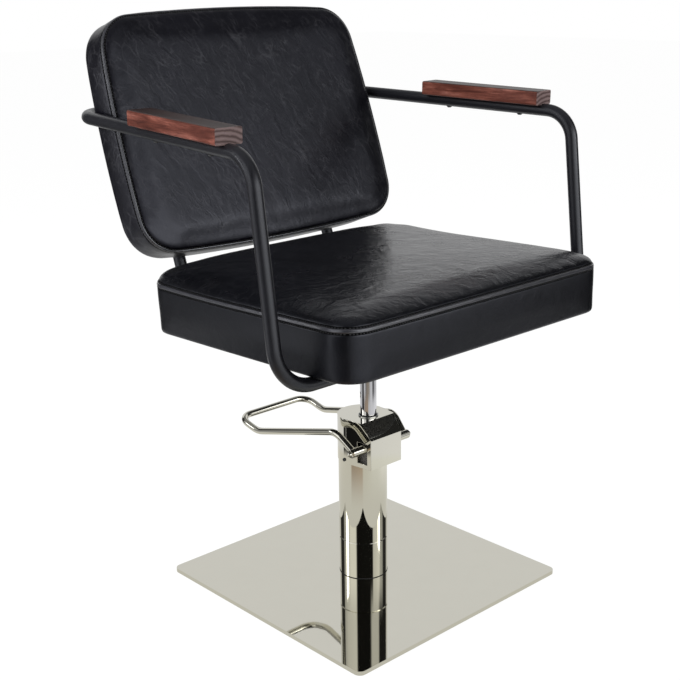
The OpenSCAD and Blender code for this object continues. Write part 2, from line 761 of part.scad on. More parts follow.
// closed skin over rings; each ring is [inset, height] and the last one closes on a crown
// prof: [inset, z] pairs up the side; crown: [scale, rise] pairs over the top
// rise swells the top up and out towards the edge at +Y, while the base stays flat
function heave(p, hx, hy) = pow(max(0, p[1] / hy - 0.15) / 0.85, 2) * (1 - 0.7 * pow(p[0] / hx, 4))
  * [0, 0.45, 1];
module cushion(hx, hy, r, prof, crown, m, e, bow, taper, rise = 0) {
  np = len(prof);
  nc = len(crown);
  n = 4 * (m + 1 + e);
  top = prof[np - 1];
  side = [for (p = prof) each [for (q = rect_pts(hx - p[0], hy - p[0], r - p[0], m, e))
    let (s = shaped(q, hx, hy, bow, taper), k = max(0, p[1] - 20) / (top[1] - 20))
      [s[0], s[1], p[1]] + rise * k * heave(s, hx, hy)]];
  over = [for (c = crown) each [for (q = rect_pts(hx - top[0], hy - top[0], r - top[0], m, e))
    let (s = shaped(q * c[0], hx, hy, bow, taper))
      [s[0], s[1], top[1] + c[1]] + rise * heave(s, hx, hy)]];
  all = concat(side, over);
  rings = np + nc;
  faces = concat([[for (j = [0 : n - 1]) j]], [[for (j = [n - 1 : -1 : 0]) (rings - 1) * n + j]],
    [for (i = [0 : rings - 2], j = [0 : n - 1], q = [0, 1]) let (a = i * n + j, b = i * n + (j + 1) % n)
      q == 0 ? [a, a + n, b] : [b, a + n, b + n]]);
  polyhedron(points = all, faces = faces, convexity = 6);
}

shoulder = 17.5;
seat_prof = [[3, 0], [0.5, 3], [-1.5, 0.3 * seat_side], [-2.5, 0.7 * seat_side], [-2, seat_side - 6],
  [0.5, seat_side], [1.5, seat_side + 4.5], [4.8, seat_side + 10], [11, seat_side + 14.5],
  [21, seat_side + shoulder]];
seat_rise = seat_crown - shoulder;
seat_over = [for (s = [0.9, 0.75, 0.55, 0.3, 0.1]) [s, seat_rise * (1 - pow(s, 2.4))]];

module seat_cavity(g) {
  prof = [[7 + g, fold_t + (g > 0 ? board_t + 0.1 : 0)], [4 + g, seat_side - 4], [7 + g, seat_side + 4],
    [22 + g, seat_side + shoulder - skin - g]];
  over = [for (s = [0.85, 0.6, 0.2]) [s, seat_rise * (1 - pow(s, 2.4)) - 0.4]];
  cushion(seat_w / 2 - 2, seat_d / 2 - 2, seat_r, prof, over, 3, 2, seat_bow, 0, rear_rise);
}

module seat_foam() {
  color("khaki") seat_frame() seat_cavity(0.4);
}

module seat_cover() {
  color("#202022") seat_frame() difference() {
    cushion(seat_w / 2 - 2, seat_d / 2 - 2, seat_r, seat_prof, seat_over, 6, 5, seat_bow, 0, rear_rise);
    seat_cavity(0);
    translate([0, 0, -1]) linear_extrude(4) polygon(rect_pts(seat_w / 2 - 35, seat_d / 2 - 35, 8, 3, 0));
  }
}

module seat_dust_cloth() {
  color("black") seat_frame() translate([0, 0, -cloth_t]) difference() {
    linear_extrude(cloth_t) round_rect(seat_w - 30, seat_d - 30, seat_r - 14);
    hub_holes(4.6);
    for (x = [-rail_x, rail_x], y = rail_bolt_y) translate([x, y, 0])
      cylinder(h = 60, r = 3.6, center = true);
  }
}

// backrest
// its form is drawn lying down and stood up: X across, V up, W to the rear
module stand() { back_frame() translate([0, 0, back_h / 2]) rotate([90, 0, 0]) children(); }
seat_bow = [2, 2];
back_bow = [8, 9];
back_taper = 0.02;
back_hx = back_w / 2 - 8;
back_hv = back_h / 2 - 5;
// z here is measured forward from the rear face
back_prof = [[3, -back_t], [0.5, -back_t + 3], [-0.5, -back_t * 0.5], [0.8, -4], [3, 0], [4.4, 3], [9, 7]];
back_over = [for (s = [0.93, 0.82, 0.62, 0.35, 0.1]) [s, (back_crown - 7) * (1 - pow(s, 2.6))]];

module back_cavity(g) {
  prof = [[7 + g, -back_t + panel_t + (g > 0 ? back_board_t + 0.1 : -0.1)], [6 + g, -3], [10 + g, 4 - g]];
  over = [for (s = [0.9, 0.6, 0.2]) [s, (back_crown - 7) * (1 - pow(s, 2.6)) + 0.4]];
  cushion(back_hx, back_hv, back_r, prof, over, 3, 2, back_bow, back_taper);
}

module back_cover() {
  color("#202022") stand() difference() {
    cushion(back_hx, back_hv, back_r, back_prof, back_over, 6, 5, back_bow, back_taper);
    back_cavity(0);
    translate([0, 0, -back_t - 1]) linear_extrude(panel_t + 2) back_plan(24);
  }
}

module back_plan(g) {
  polygon([for (q = rect_pts(back_hx - g, back_hv - g, back_r - g, 8, 6))
    shaped(q, back_hx, back_hv, back_bow, back_taper)]);
}

module back_foam() {
  color("khaki") stand() back_cavity(0.4);
}

module back_board() {
  color("burlywood") stand() difference() {
    translate([0, 0, -back_t + panel_t]) linear_extrude(back_board_t) back_plan(9);
    for (x = [-rail_x, rail_x], v = back_bolt_v)
      translate([x, v - back_h / 2, -back_t]) {
        cylinder(h = 30, r = 4.9);
        translate([0, 0, panel_t + back_board_t - 1.6]) cylinder(h = 5, r = 10.1);
      }
  }
}

module back_tee_nuts() {
  color("silver") stand() for (x = [-rail_x, rail_x], v = back_bolt_v)
    translate([x, v - back_h / 2, -back_t + panel_t + back_board_t - 1.6]) tee_nut(4, 9);
}

// upholstered rear panel set in the opening
module back_panel() {
  color("#202022") stand() difference() {
    translate([0, 0, -back_t - 0.6]) linear_extrude(panel_t + 0.5) back_plan(24.4);
    for (x = [-rail_x, rail_x], v = back_bolt_v)
      translate([x, v - back_h / 2, -back_t - 5]) cylinder(h = 30, r = 4.6);
  }
}

module back_spacers() {
  color("#1c1c1e") back_frame() difference() {
    for (x = [-rail_x, rail_x], v = back_bolt_v) translate([x, back_t + 0.6, v]) rotate([-90, 0, 0])
      ring(9, 4.2, post_w - back_t - 2);
    for (x = [-rail_x, rail_x]) translate([x, post_w, 0]) cylinder(h = back_h, r = tube_r + 0.02);
  }
}

module back_bolts() {
  len = post_w + tube_r + saddle_t - back_t + panel_t + back_board_t;
  color("dimgray") at_posts() translate([0, 0, -tube_r - saddle_t]) hex_bolt(8, len, 13, 5);
}

// arm pads
module pad_section() {
  r = 3;
  w = pad_w / 2 - r;
  translate([0, pad_h / 2]) {
    square([pad_w - 2 * r, pad_h], center = true);
    square([pad_w, pad_h - 2 * r], center = true);
    for (x = [-w, w], y = [-1, 1]) translate([x, y * (pad_h / 2 - r)]) circle(r = r, $fn = 24);
  }
}

module arm_pad() {
  color("#5a2a22") arm_frame() difference() {
    translate([0, 54, tube_r - 2.2]) rotate([-90, 0, 0]) mirror([0, 1, 0]) linear_extrude(pad_l) pad_section();
    translate([0, 20, 0]) rotate([-90, 0, 0]) cylinder(h = pad_l + 80, r = tube_r + 0.08);
    for (y = pad_s) translate([0, y, 0]) cylinder(h = tube_r + 12, r = 2.1);
  }
}
module arm_pad_left() { mirror([1, 0, 0]) arm_pad(); }
module arm_pad_right() { arm_pad(); }

module arm_screws() {
  color("black") both_arms() for (y = pad_s) translate([0, y, -tube_r]) {
    translate([0, 0, -1.5]) cylinder(h = 2 * tube_r + 10.5, r = 2.05);
    difference() {
      union() {
        translate([0, 0, -2.2]) cylinder(h = 1.6, r1 = 3, r2 = 4.6);
        translate([0, 0, -0.6]) cylinder(h = 1.1, r = 4.6);
      }
      rotate([-90, 0, 0]) translate([0, -tube_r, -10]) cylinder(h = 20, r = tube_r + 0.02);
    }
  }
}

base_cover();
base_weight();
base_glides();
foot_bolts();
pump_foot();
column_sleeve();
column_jacket();
oil_tank();
pressure_cylinder();
pump_head();
head_bolts();
guide_bush();
rod_seal();
gland_ring();
wiper_ring();
pump_barrel();
release_valve();
pump_cover();
cover_screw();
plunger();
plunger_spring();
pedal_bar();
pedal_axle();
pedal_bosses();
axle_nuts();
pump_lever();
release_lever();
pedal_spring();
ram_piston();
piston_seal();
thrust_washer();
ram_rod();
seat_hub();
hub_bolts();
frame_loop();
frame_cross();
frame_rail_left();
frame_rail_right();
rail_bolts();
saddle_washers();
seat_board();
seat_tee_nuts();
seat_foam();
seat_cover();
seat_dust_cloth();
back_board();
back_tee_nuts();
back_foam();
back_cover();
back_panel();
back_spacers();
back_bolts();
arm_pad_left();
arm_pad_right();
arm_screws();
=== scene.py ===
"""Hairdressing chair: upholstery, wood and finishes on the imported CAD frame.

Lengths in the tables below are in millimetres, as in the CAD source; meshes are in metres.
"""
import json
import math

import bmesh
import bpy
import numpy as np
from mathutils import Matrix, Vector, kdtree

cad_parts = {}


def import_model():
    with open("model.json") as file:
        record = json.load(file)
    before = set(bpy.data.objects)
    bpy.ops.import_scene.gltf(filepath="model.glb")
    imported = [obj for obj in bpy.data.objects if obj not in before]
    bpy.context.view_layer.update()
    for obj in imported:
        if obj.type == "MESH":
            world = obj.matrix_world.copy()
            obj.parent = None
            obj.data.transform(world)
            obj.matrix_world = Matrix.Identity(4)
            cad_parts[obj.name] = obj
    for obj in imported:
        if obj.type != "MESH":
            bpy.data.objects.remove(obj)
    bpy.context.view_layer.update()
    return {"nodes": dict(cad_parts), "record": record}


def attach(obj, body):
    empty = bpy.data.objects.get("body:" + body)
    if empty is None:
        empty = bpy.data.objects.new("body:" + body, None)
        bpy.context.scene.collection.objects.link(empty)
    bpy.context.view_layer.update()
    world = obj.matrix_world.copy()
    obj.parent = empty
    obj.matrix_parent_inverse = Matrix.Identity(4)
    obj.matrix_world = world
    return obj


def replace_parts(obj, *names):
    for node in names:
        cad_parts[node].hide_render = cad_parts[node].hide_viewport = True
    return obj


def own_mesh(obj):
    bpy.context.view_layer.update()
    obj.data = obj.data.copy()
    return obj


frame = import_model()
nodes = frame["nodes"]
scene = bpy.context.scene
MM = 0.001

# --- places and sizes that the new pieces share with part.scad ---
SEAT_Y, SEAT_Z, SEAT_TILT = -41.2, 475.2, math.radians(1.7)
SEAT_W, SEAT_D, SEAT_SIDE, SEAT_CROWN, SEAT_R = 580, 476, 77, 29, 42
SHOULDER, REAR_RISE = 17.5, 13
BACK_Y, BACK_Z, BACK_TILT = 197.8, 582.8, math.radians(19)
BACK_W, BACK_H, BACK_T, BACK_CROWN, BACK_R = 568, 404, 54, 13, 56
# outlines before their sides bow out and bulge: half width and half height, bow and bulge
SEAT_HALF, SEAT_BOW, SEAT_BULGE = (SEAT_W / 2, SEAT_D / 2), (2, 2), 2.5
BACK_HALF, BACK_BOW, BACK_BULGE, BACK_TAPER = (BACK_W / 2 - 8, BACK_H / 2 - 5), (8, 9), 3, 0.02
AXLE_Y, AXLE_Z, PEDAL_REACH, PEDAL_W = -41.5, 257.0, 240.0, 160.0
COLUMN_R, PLATE_TOP = 42.0, 8.0


def seat_pt(p):
    """Points of the seat's own frame, in mm, to the row frame, in metres."""
    c, s = math.cos(SEAT_TILT), math.sin(SEAT_TILT)
    return np.stack([p[:, 0], SEAT_Y + p[:, 1] * c + p[:, 2] * s, SEAT_Z - p[:, 1] * s + p[:, 2] * c], 1) * MM


def back_pt(p):
    """Points of the backrest lying down (z forward of its front seam) to the row frame, in metres."""
    c, s = math.cos(BACK_TILT), math.sin(BACK_TILT)
    v, w = p[:, 1] + BACK_H / 2, -p[:, 2]
    return np.stack([p[:, 0], BACK_Y + v * s + w * c, BACK_Z + v * c - w * s], 1) * MM


# --- camera, solved from the photograph ---
EYE = np.array([-1.3399, -1.3988, 1.0188])
AZ, EL, ROLL, FOCAL_PX, FRAME_PX, SENSOR = -0.745, 0.2942, -0.0133, 1206.44, 680, 36
fwd = np.array([-math.sin(AZ) * math.cos(EL), math.cos(AZ) * math.cos(EL), -math.sin(EL)])
right = np.cross(fwd, [0, 0, 1])
right /= np.linalg.norm(right)
up = np.cross(right, fwd)
cam_x = right * math.cos(ROLL) + up * math.sin(ROLL)
cam_y = up * math.cos(ROLL) - right * math.sin(ROLL)
cam = bpy.data.objects.new("camera", bpy.data.cameras.new("camera"))
scene.collection.objects.link(cam)
cam.data.sensor_width = SENSOR
cam.data.lens = SENSOR * FOCAL_PX / FRAME_PX
cam.data.clip_end = 50
rows = [[cam_x[i], cam_y[i], -fwd[i], EYE[i]] for i in range(3)] + [[0, 0, 0, 1]]
cam.matrix_world = Matrix(rows)
scene.camera = cam


# --- node helpers ---
def put(tree, socket, value):
    """Links an output to the input socket, or sets the socket's own value."""
    if isinstance(value, bpy.types.NodeSocket):
        tree.links.new(value, socket)
    else:
        socket.default_value = value


def node(tree, kind, inputs=None, **props):
    n = tree.nodes.new("ShaderNode" + kind)
    for key, value in props.items():
        setattr(n, key, value)
    for key, value in (inputs or {}).items():
        put(tree, n.inputs[key], value)
    return n


def ramp(tree, fac, stops, smooth=False):
    """A colour ramp; each stop is a position and a grey or a colour."""
    n = node(tree, "ValToRGB", {"Fac": fac})
    n.color_ramp.interpolation = "EASE" if smooth else "LINEAR"
    e = n.color_ramp.elements
    while len(e) < len(stops):
        e.new(0.5)
    for el, (pos, col) in zip(e, stops):
        el.position = pos
        el.color = (*col, 1) if isinstance(col, tuple) else (col, col, col, 1)
    return n.outputs["Color"]


class Mat:
    """A Principled material and short calls that add nodes to it."""

    def __init__(self, name, **sockets):
        self.m = bpy.data.materials.new(name)
        self.m.use_nodes = True
        self.t = self.m.node_tree
        self.bsdf = self.t.nodes["Principled BSDF"]
        for key, value in sockets.items():
            self.bsdf.inputs[key.replace("_", " ")].default_value = value
        self.coord = self.t.nodes.new("ShaderNodeTexCoord").outputs["Object"]

    def add(self, kind, inputs=None, **props):
        return node(self.t, kind, inputs, **props)

    def math(self, operation, *values):
        return self.add("Math", dict(enumerate(values)), operation=operation).outputs[0]

    def vector(self, operation, **inputs):
        """A vector calculation; inputs are a, b and scale."""
        at = {"a": 0, "b": 1, "scale": 3}
        n = self.add("VectorMath", {at[k]: v for k, v in inputs.items()}, operation=operation)
        return n.outputs["Value" if operation == "DOT_PRODUCT" else 0]

    def part(self, vector, axis):
        return self.add("SeparateXYZ", {0: vector}).outputs[axis]

    def normal(self):
        return self.add("NewGeometry").outputs["Normal"]

    def place(self, scale=(1, 1, 1), turn=(0, 0, 0)):
        return self.add("Mapping", {"Vector": self.coord, "Scale": scale, "Rotation": turn}).outputs[0]

    def noise(self, scale, detail=4, rough=0.55, vector=None, distort=0.0):
        n = self.add("TexNoise", {"Vector": vector or self.coord, "Scale": scale, "Detail": detail,
                                  "Roughness": rough, "Distortion": distort})
        return n.outputs["Fac"]

    def ramp(self, fac, *stops):
        return ramp(self.t, fac, stops)

    def span(self, fac, low, high):
        return self.add("MapRange", {"Value": fac, "To Min": low, "To Max": high}).outputs[0]

    def mix(self, fac, a, b, blend="MIX"):
        n = self.add("Mix", data_type="RGBA", blend_type=blend)
        for i, v in ((0, fac), (6, a), (7, b)):
            put(self.t, n.inputs[i], v if isinstance(v, (float, int, bpy.types.NodeSocket)) else (*v, 1))
        return n.outputs[2]

    def bump(self, height, strength, distance, under=None):
        ins = {"Height": height, "Strength": strength, "Distance": distance}
        if under:
            ins["Normal"] = under
        return self.add("Bump", ins).outputs[0]

    def set(self, **sockets):
        for key, value in sockets.items():
            put(self.t, self.bsdf.inputs[key.replace("_", " ")], value)
        return self.m


def metal(name, color, rough, spread=0.02, scale=60, dents=0.0, dent_scale=30, scratch=0.0):
    """Bare or plated metal: roughness that wanders a little, faint waves, fine wipe marks."""
    k = Mat(name, Metallic=1.0)
    wear = k.noise(scale, 5)
    fine = k.noise(900, 2, vector=k.place((0.15, 1, 1), (0.3, 0.2, 0.6)))
    k.set(Base_Color=k.mix(k.span(wear, 0, 0.35), color, tuple(c * 0.9 for c in color)),
          Roughness=k.span(wear, rough, rough + spread))
    n = k.bump(k.noise(dent_scale, 1), dents, 0.002) if dents else None
    if scratch:
        n = k.bump(fine, scratch, 0.0001, n)
    if n:
        k.set(Normal=n)
    return k.m


def coated(name, color, rough, peel=0.12, peel_scale=1400, coat=0.0, gloss=0.5):
    """Paint, powder coat, rubber and moulded things: fine texture and slight colour wander."""
    k = Mat(name, Coat_Weight=coat, Coat_Roughness=0.3, Specular_IOR_Level=gloss,
            Specular_Tint=(0.9, 0.93, 1.0, 1))
    broad, fine = k.noise(9, 4), k.noise(peel_scale, 2)
    k.set(Base_Color=k.mix(k.span(broad, 0, 0.8), color, tuple(c * 1.35 + 0.001 for c in color)),
          Roughness=k.span(k.noise(40, 4), rough - 0.05, rough + 0.05),
          Normal=k.bump(fine, peel, 0.0003))
    return k.m


def vinyl(name, cell, turn, crease, light, tone, wave=0.035, rough=(0.2, 0.46), gloss=0.3, top=False):
    """Black upholstery vinyl: pebbled grain, broken creases, and a soft, patchy sheen.

    cell is the size in metres of the patches between creases, along the axes that turn gives. With top,
    only faces that look up are creased, and the sides are smooth and mottled."""
    k = Mat(name, Specular_IOR_Level=gloss, Specular_Tint=(0.84, 0.87, 1.0, 1))
    wander = k.add("TexNoise", {"Vector": k.coord, "Scale": 26.0, "Detail": 3.0}).outputs["Color"]
    shift = k.vector("ADD", a=wander, b=(-0.5, -0.5, -0.5))
    shift = k.vector("SCALE", a=shift, scale=wave)
    moved = k.vector("ADD", a=k.coord, b=shift)

    def network(size, thick):
        """Thin lines between cells of a size, and the cells' own coordinates."""
        at = k.add("Mapping", {"Vector": moved, "Scale": size, "Rotation": turn},
                   vector_type="TEXTURE").outputs[0]
        gap = k.add("TexVoronoi", {"Vector": at, "Scale": 1.0},
                    feature="DISTANCE_TO_EDGE").outputs["Distance"]
        return k.ramp(gap, (0.0, 1.0), (thick * 0.4, 0.55), (thick, 0.0)), at

    coarse, at = network(cell, 0.09)
    fine, _ = network([c * 0.43 for c in cell], 0.11)
    worn = k.ramp(k.noise(19, 4, 0.6), (0.47, 0.0), (0.68, 1.0))
    worn_fine = k.noise(31, 3, 0.6, k.place((1.3, 0.9, 1.1), (0.4, 0.2, 0.1)))
    worn_fine = k.ramp(worn_fine, (0.5, 0.0), (0.7, 1.0))
    marks = k.mix(1.0, k.mix(1.0, coarse, worn, "MULTIPLY"), k.mix(1.0, fine, worn_fine, "MULTIPLY"),
                  "LIGHTEN")
    if top:
        level = k.part(k.normal(), "Z")
        marks = k.mix(1.0, marks, k.ramp(level, (0.35, 0.0), (0.9, 1.0)), "MULTIPLY")
    patch = k.noise(7, 6, 0.62)
    cloud = k.mix(k.span(patch, -0.4, 1.2), tone, tuple(c * 2.3 for c in tone))
    swell = k.noise(0.8, 4, 0.6, at, 0.6)
    pebble = k.add("TexVoronoi", {"Vector": k.coord, "Scale": 800.0}, feature="F1").outputs["Distance"]
    if top:
        swell = k.mix(k.ramp(level, (0.35, 0.25), (0.9, 1.0)), (0.5, 0.5, 0.5), swell)
    n = k.bump(swell, crease, 0.006)
    n = k.bump(marks, crease * 0.6, 0.0012, n)
    n = k.bump(pebble, 0.12, 0.0003, n)
    matte = k.span(k.noise(13, 5, 0.6, k.place((1, 1, 1.4))), *rough)
    if top:
        mottled = k.span(k.noise(11, 5, 0.65), 0.22, 0.42)
        matte = k.mix(k.ramp(level, (0.3, 0.0), (0.75, 1.0)), mottled, matte)
    color = k.mix(k.span(marks, 0, light), cloud, (0.16, 0.16, 0.175))
    return k.set(Base_Color=color, Roughness=matte, Normal=n)


def hardwood(name):
    """Stained hardwood pads: mottled streaks along the arm, pores, growth rings on the cut ends, and painted
    shade on the tops.
    """
    k = Mat(name, Coat_Weight=0.05, Coat_Roughness=0.2, Specular_IOR_Level=0.22)
    along = k.place((70, 7, 110))
    streak = k.noise(1.0, 7, 0.62, along, 0.5)
    mottle = k.noise(60, 5, 0.6, k.place((1, 0.35, 1)))
    pores = k.noise(1.0, 3, 0.7, k.place((700, 40, 900)))
    # the trunk's middle lies below each pad, so its rings cross the cut end as arcs
    heart_x, heart_z = 0.352, 0.735
    across = k.math("ADD", k.math("ABSOLUTE", k.part(k.coord, "X")), -heart_x)
    upward = k.math("ADD", k.part(k.coord, "Z"), -heart_z)
    centred = k.add("CombineXYZ", {0: across, 1: upward}).outputs[0]
    waves = {"Vector": centred, "Scale": 44.0, "Distortion": 2.6, "Detail": 3.0, "Detail Scale": 1.2}
    rings = k.add("TexWave", waves, wave_type="RINGS", rings_direction="Z").outputs["Fac"]
    side = k.ramp(streak, (0.30, (0.026, 0.007, 0.005)), (0.44, (0.095, 0.027, 0.018)),
                  (0.57, (0.19, 0.064, 0.046)), (0.72, (0.36, 0.15, 0.115)))
    side = k.mix(k.ramp(mottle, (0.36, 0.0), (0.7, 0.75)), side, (0.045, 0.012, 0.009))
    end = k.ramp(rings, (0.0, (0.075, 0.045, 0.043)), (0.35, (0.15, 0.10, 0.096)), (0.9, (0.23, 0.165, 0.16)))
    cut = k.math("ABSOLUTE", k.vector("DOT_PRODUCT", a=k.normal(), b=(0, 1, 0)))
    upper = k.part(k.normal(), "Z")
    # faces that look up are painted much darker: painted shade on the pads' tops
    side = k.mix(k.ramp(upper, (0.5, 0.0), (0.9, 0.92)), side, (0.008, 0.0042, 0.0042))
    col = k.mix(k.ramp(cut, (0.75, 0.0), (0.93, 1.0)), side, end)
    col = k.mix(k.ramp(pores, (0.28, 0.7), (0.42, 0.0)), col, (0.014, 0.005, 0.004))
    n = k.bump(pores, 0.22, 0.0004)
    n = k.bump(streak, 0.12, 0.0008, n)
    return k.set(Base_Color=col, Roughness=k.span(streak, 0.46, 0.34), Normal=n)


def ply(name, a, b):
    """Plywood: the veneers' streaks."""
    k = Mat(name, Roughness=0.7)
    streak = k.noise(1.0, 5, 0.6, k.place((6, 90, 300)), 0.5)
    k.set(Base_Color=k.mix(streak, a, b), Normal=k.bump(streak, 0.3, 0.0005))
    return k.m


def fibres(name, rough, scale, dark, light, depth):
    """Lining cloth and sewing thread: a fine mottle with a bump to match."""
    k = Mat(name, Roughness=rough)
    grain = k.noise(scale, 2)
    return k.set(Base_Color=k.mix(grain, dark, light), Normal=k.bump(grain, 0.5, depth))


M = {
    "chrome": metal("chrome", (0.665, 0.65, 0.575), 0.02, 0.02, 25, dents=0.02, dent_scale=9, scratch=0.01),
    "ram_steel": metal("ram_steel", (0.62, 0.62, 0.64), 0.05, 0.03, 80, scratch=0.02),
    "cast_iron": coated("cast_iron", (0.05, 0.05, 0.055), 0.7, 0.5, 500),
    "cast_alloy": metal("cast_alloy", (0.16, 0.155, 0.15), 0.36, 0.15, 120, dents=0.3, dent_scale=500),
    "tank_steel": coated("tank_steel", (0.03, 0.03, 0.032), 0.5),
    "zinc_steel": metal("zinc_steel", (0.55, 0.56, 0.55), 0.26, 0.16, 200, scratch=0.1),
    "brass": metal("brass", (0.62, 0.44, 0.2), 0.25, 0.12, 100, scratch=0.1),
    "rubber": coated("rubber", (0.014, 0.014, 0.014), 0.75, 0.3, 900),
    "black_paint": coated("black_paint", (0.0075, 0.0075, 0.0095), 0.33, 0.08, 1500, gloss=0.5),
    "black_steel": coated("black_steel", (0.012, 0.012, 0.012), 0.4, 0.1, 900, coat=0.2),
    "plywood": ply("plywood", (0.62, 0.46, 0.28), (0.45, 0.31, 0.17)),
    "foam": coated("foam", (0.75, 0.68, 0.45), 0.95, 0.5, 700),
    "lining": fibres("lining", 0.92, 1600, (0.012, 0.012, 0.013), (0.035, 0.035, 0.037), 0.0004),
    "pad_wood": hardwood("pad_wood"),
}
# the creases run across the seat at a slant, and up the backrest at a slant
seat_turn = (0, 0, math.radians(-40))
back_turn = (Matrix.Rotation(-BACK_TILT, 3, "X") @ Matrix.Rotation(math.radians(-27), 3, "Y")).to_euler()
seat_vinyl = vinyl("seat_vinyl", (0.034, 0.021, 0.022), seat_turn, 0.36, 0.04, (0.0016, 0.0017, 0.0024),
                   rough=(0.19, 0.33), gloss=0.46, top=True)
back_vinyl = vinyl("back_vinyl", (0.015, 0.02, 0.052), tuple(back_turn), 0.12, 0.15,
                   (0.0024, 0.0023, 0.0036), wave=0.03, rough=(0.24, 0.38), gloss=0.36)
# The stitches' grooves are painted darker than the panels, and matte: painted shade in the recess.
groove_painted_shade = coated("groove_painted_shade", (0.0008, 0.0008, 0.001), 0.7, 0.1, 1200, gloss=0.05)
# The seam's band is painted about ten times lighter than the panels: a painted highlight, on a real glossier
# coat.
seam_gloss_and_painted_highlight = coated("seam_gloss_and_painted_highlight", (0.017, 0.017, 0.021), 0.22, 0.5, 240, coat=0.5, gloss=0.9)
thread_mat = fibres("black_thread", 0.45, 2600, (0.004, 0.004, 0.005), (0.012, 0.012, 0.014), 0.0002)
M["vinyl"] = seat_vinyl
slots = {s["node"]: s["material_slot"] for s in frame["record"]["subparts"]}


def finish_mesh(obj, angle=35):
    """Smooth shading with hard edges kept where faces meet at more than this angle."""
    me = obj.data
    me.shade_smooth()
    me.set_sharp_from_angle(angle=math.radians(angle))


for name, obj in nodes.items():
    for slot in obj.material_slots:
        slot.material = M[slots[name]]


def piece(name, verts, faces, mat, body, angle=60):
    """A new mesh object in the row frame, in metres, that rides on a body."""
    me = bpy.data.meshes.new(name)
    me.from_pydata([tuple(v) for v in np.asarray(verts, float)], [],
                   [tuple(int(i) for i in f) for f in faces])
    me.validate()
    obj = bpy.data.objects.new(name, me)
    scene.collection.objects.link(obj)
    me.materials.append(mat)
    finish_mesh(obj, angle)
    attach(obj, body)
    return obj


# --- padded shells: a grid over the panel that follows its rounded outline, and rings down the sides ---
def corner_warp(x, y, hx, hy, r):
    """Moves points of a rectangle so that its rings become rounded rectangles of radius r."""
    big = min(2.4 * r, 0.9 * min(hx, hy))
    ax, ay = np.abs(x), np.abs(y)
    a, b = np.clip((ax - hx + big) / big, 0, 1), np.clip((ay - hy + big) / big, 0, 1)
    m = np.maximum(a, b)
    inside = (a > 0) & (b > 0)
    q = np.where(a >= b, b / np.maximum(m, 1e-9), 2 - a / np.maximum(m, 1e-9))
    rho = np.clip(r - big * (1 - m), 6, None) / (big * np.maximum(m, 1e-6))
    rho = np.minimum(rho, 1)
    # path along (1,0)-(1,1)-(0,1) with a rounded corner of radius rho
    arc = rho * math.pi / 2
    total = 2 * (1 - rho) + arc
    s = q / 2 * total
    t1, t2 = 1 - rho, 1 - rho + arc
    ang = np.clip((s - t1) / np.maximum(rho, 1e-9), 0, math.pi / 2)
    px = np.where(s < t1, 1.0, np.where(s > t2, total - s, 1 - rho + rho * np.cos(ang)))
    py = np.where(s < t1, s, np.where(s > t2, 1.0, 1 - rho + rho * np.sin(ang)))
    nx, ny = hx - big + px * m * big, hy - big + py * m * big
    return np.where(inside, np.sign(x) * nx, x), np.where(inside, np.sign(y) * ny, y)


def lines(half, insets, cell):
    """Grid lines across a panel: close together by the edges, evenly spaced between."""
    edge = half - np.array(insets, float)
    n = max(2, int(round(2 * edge[-1] / cell)))
    middle = np.linspace(-edge[-1], edge[-1], n + 1)[1:-1]
    return np.concatenate([-edge, middle, edge[::-1]])


def grid_ring(nx, ny, k=0):
    """Indices of the grid's ring that lies k lines in from its border, once round."""
    south = [k * nx + i for i in range(k, nx - k)]
    east = [j * nx + nx - 1 - k for j in range(k + 1, ny - k)]
    north = [(ny - 1 - k) * nx + i for i in range(nx - k - 2, k - 1, -1)]
    west = [j * nx + k for j in range(ny - k - 2, k, -1)]
    return south + east + north + west


def smooth_curve(points, samples):
    """Catmull-Rom through 2-D points, at even steps of each point's index."""
    p = np.array(points, float)
    p = np.vstack([2 * p[0] - p[1], p, 2 * p[-1] - p[-2]])
    t = np.linspace(0, len(points) - 1 - 1e-9, samples)
    i = t.astype(int)
    f = (t - i)[:, None]
    a, b, c, d = p[i], p[i + 1], p[i + 2], p[i + 3]
    square, cube = 2 * a - 5 * b + 4 * c - d, 3 * b - a - 3 * c + d
    return 0.5 * (2 * b + (c - a) * f + square * f ** 2 + cube * f ** 3)


def quads(nx, ny):
    """The faces of a grid of points, nx to a row."""
    corners = [j * nx + i for j in range(ny - 1) for i in range(nx - 1)]
    return [(a, a + 1, a + nx + 1, a + nx) for a in corners]


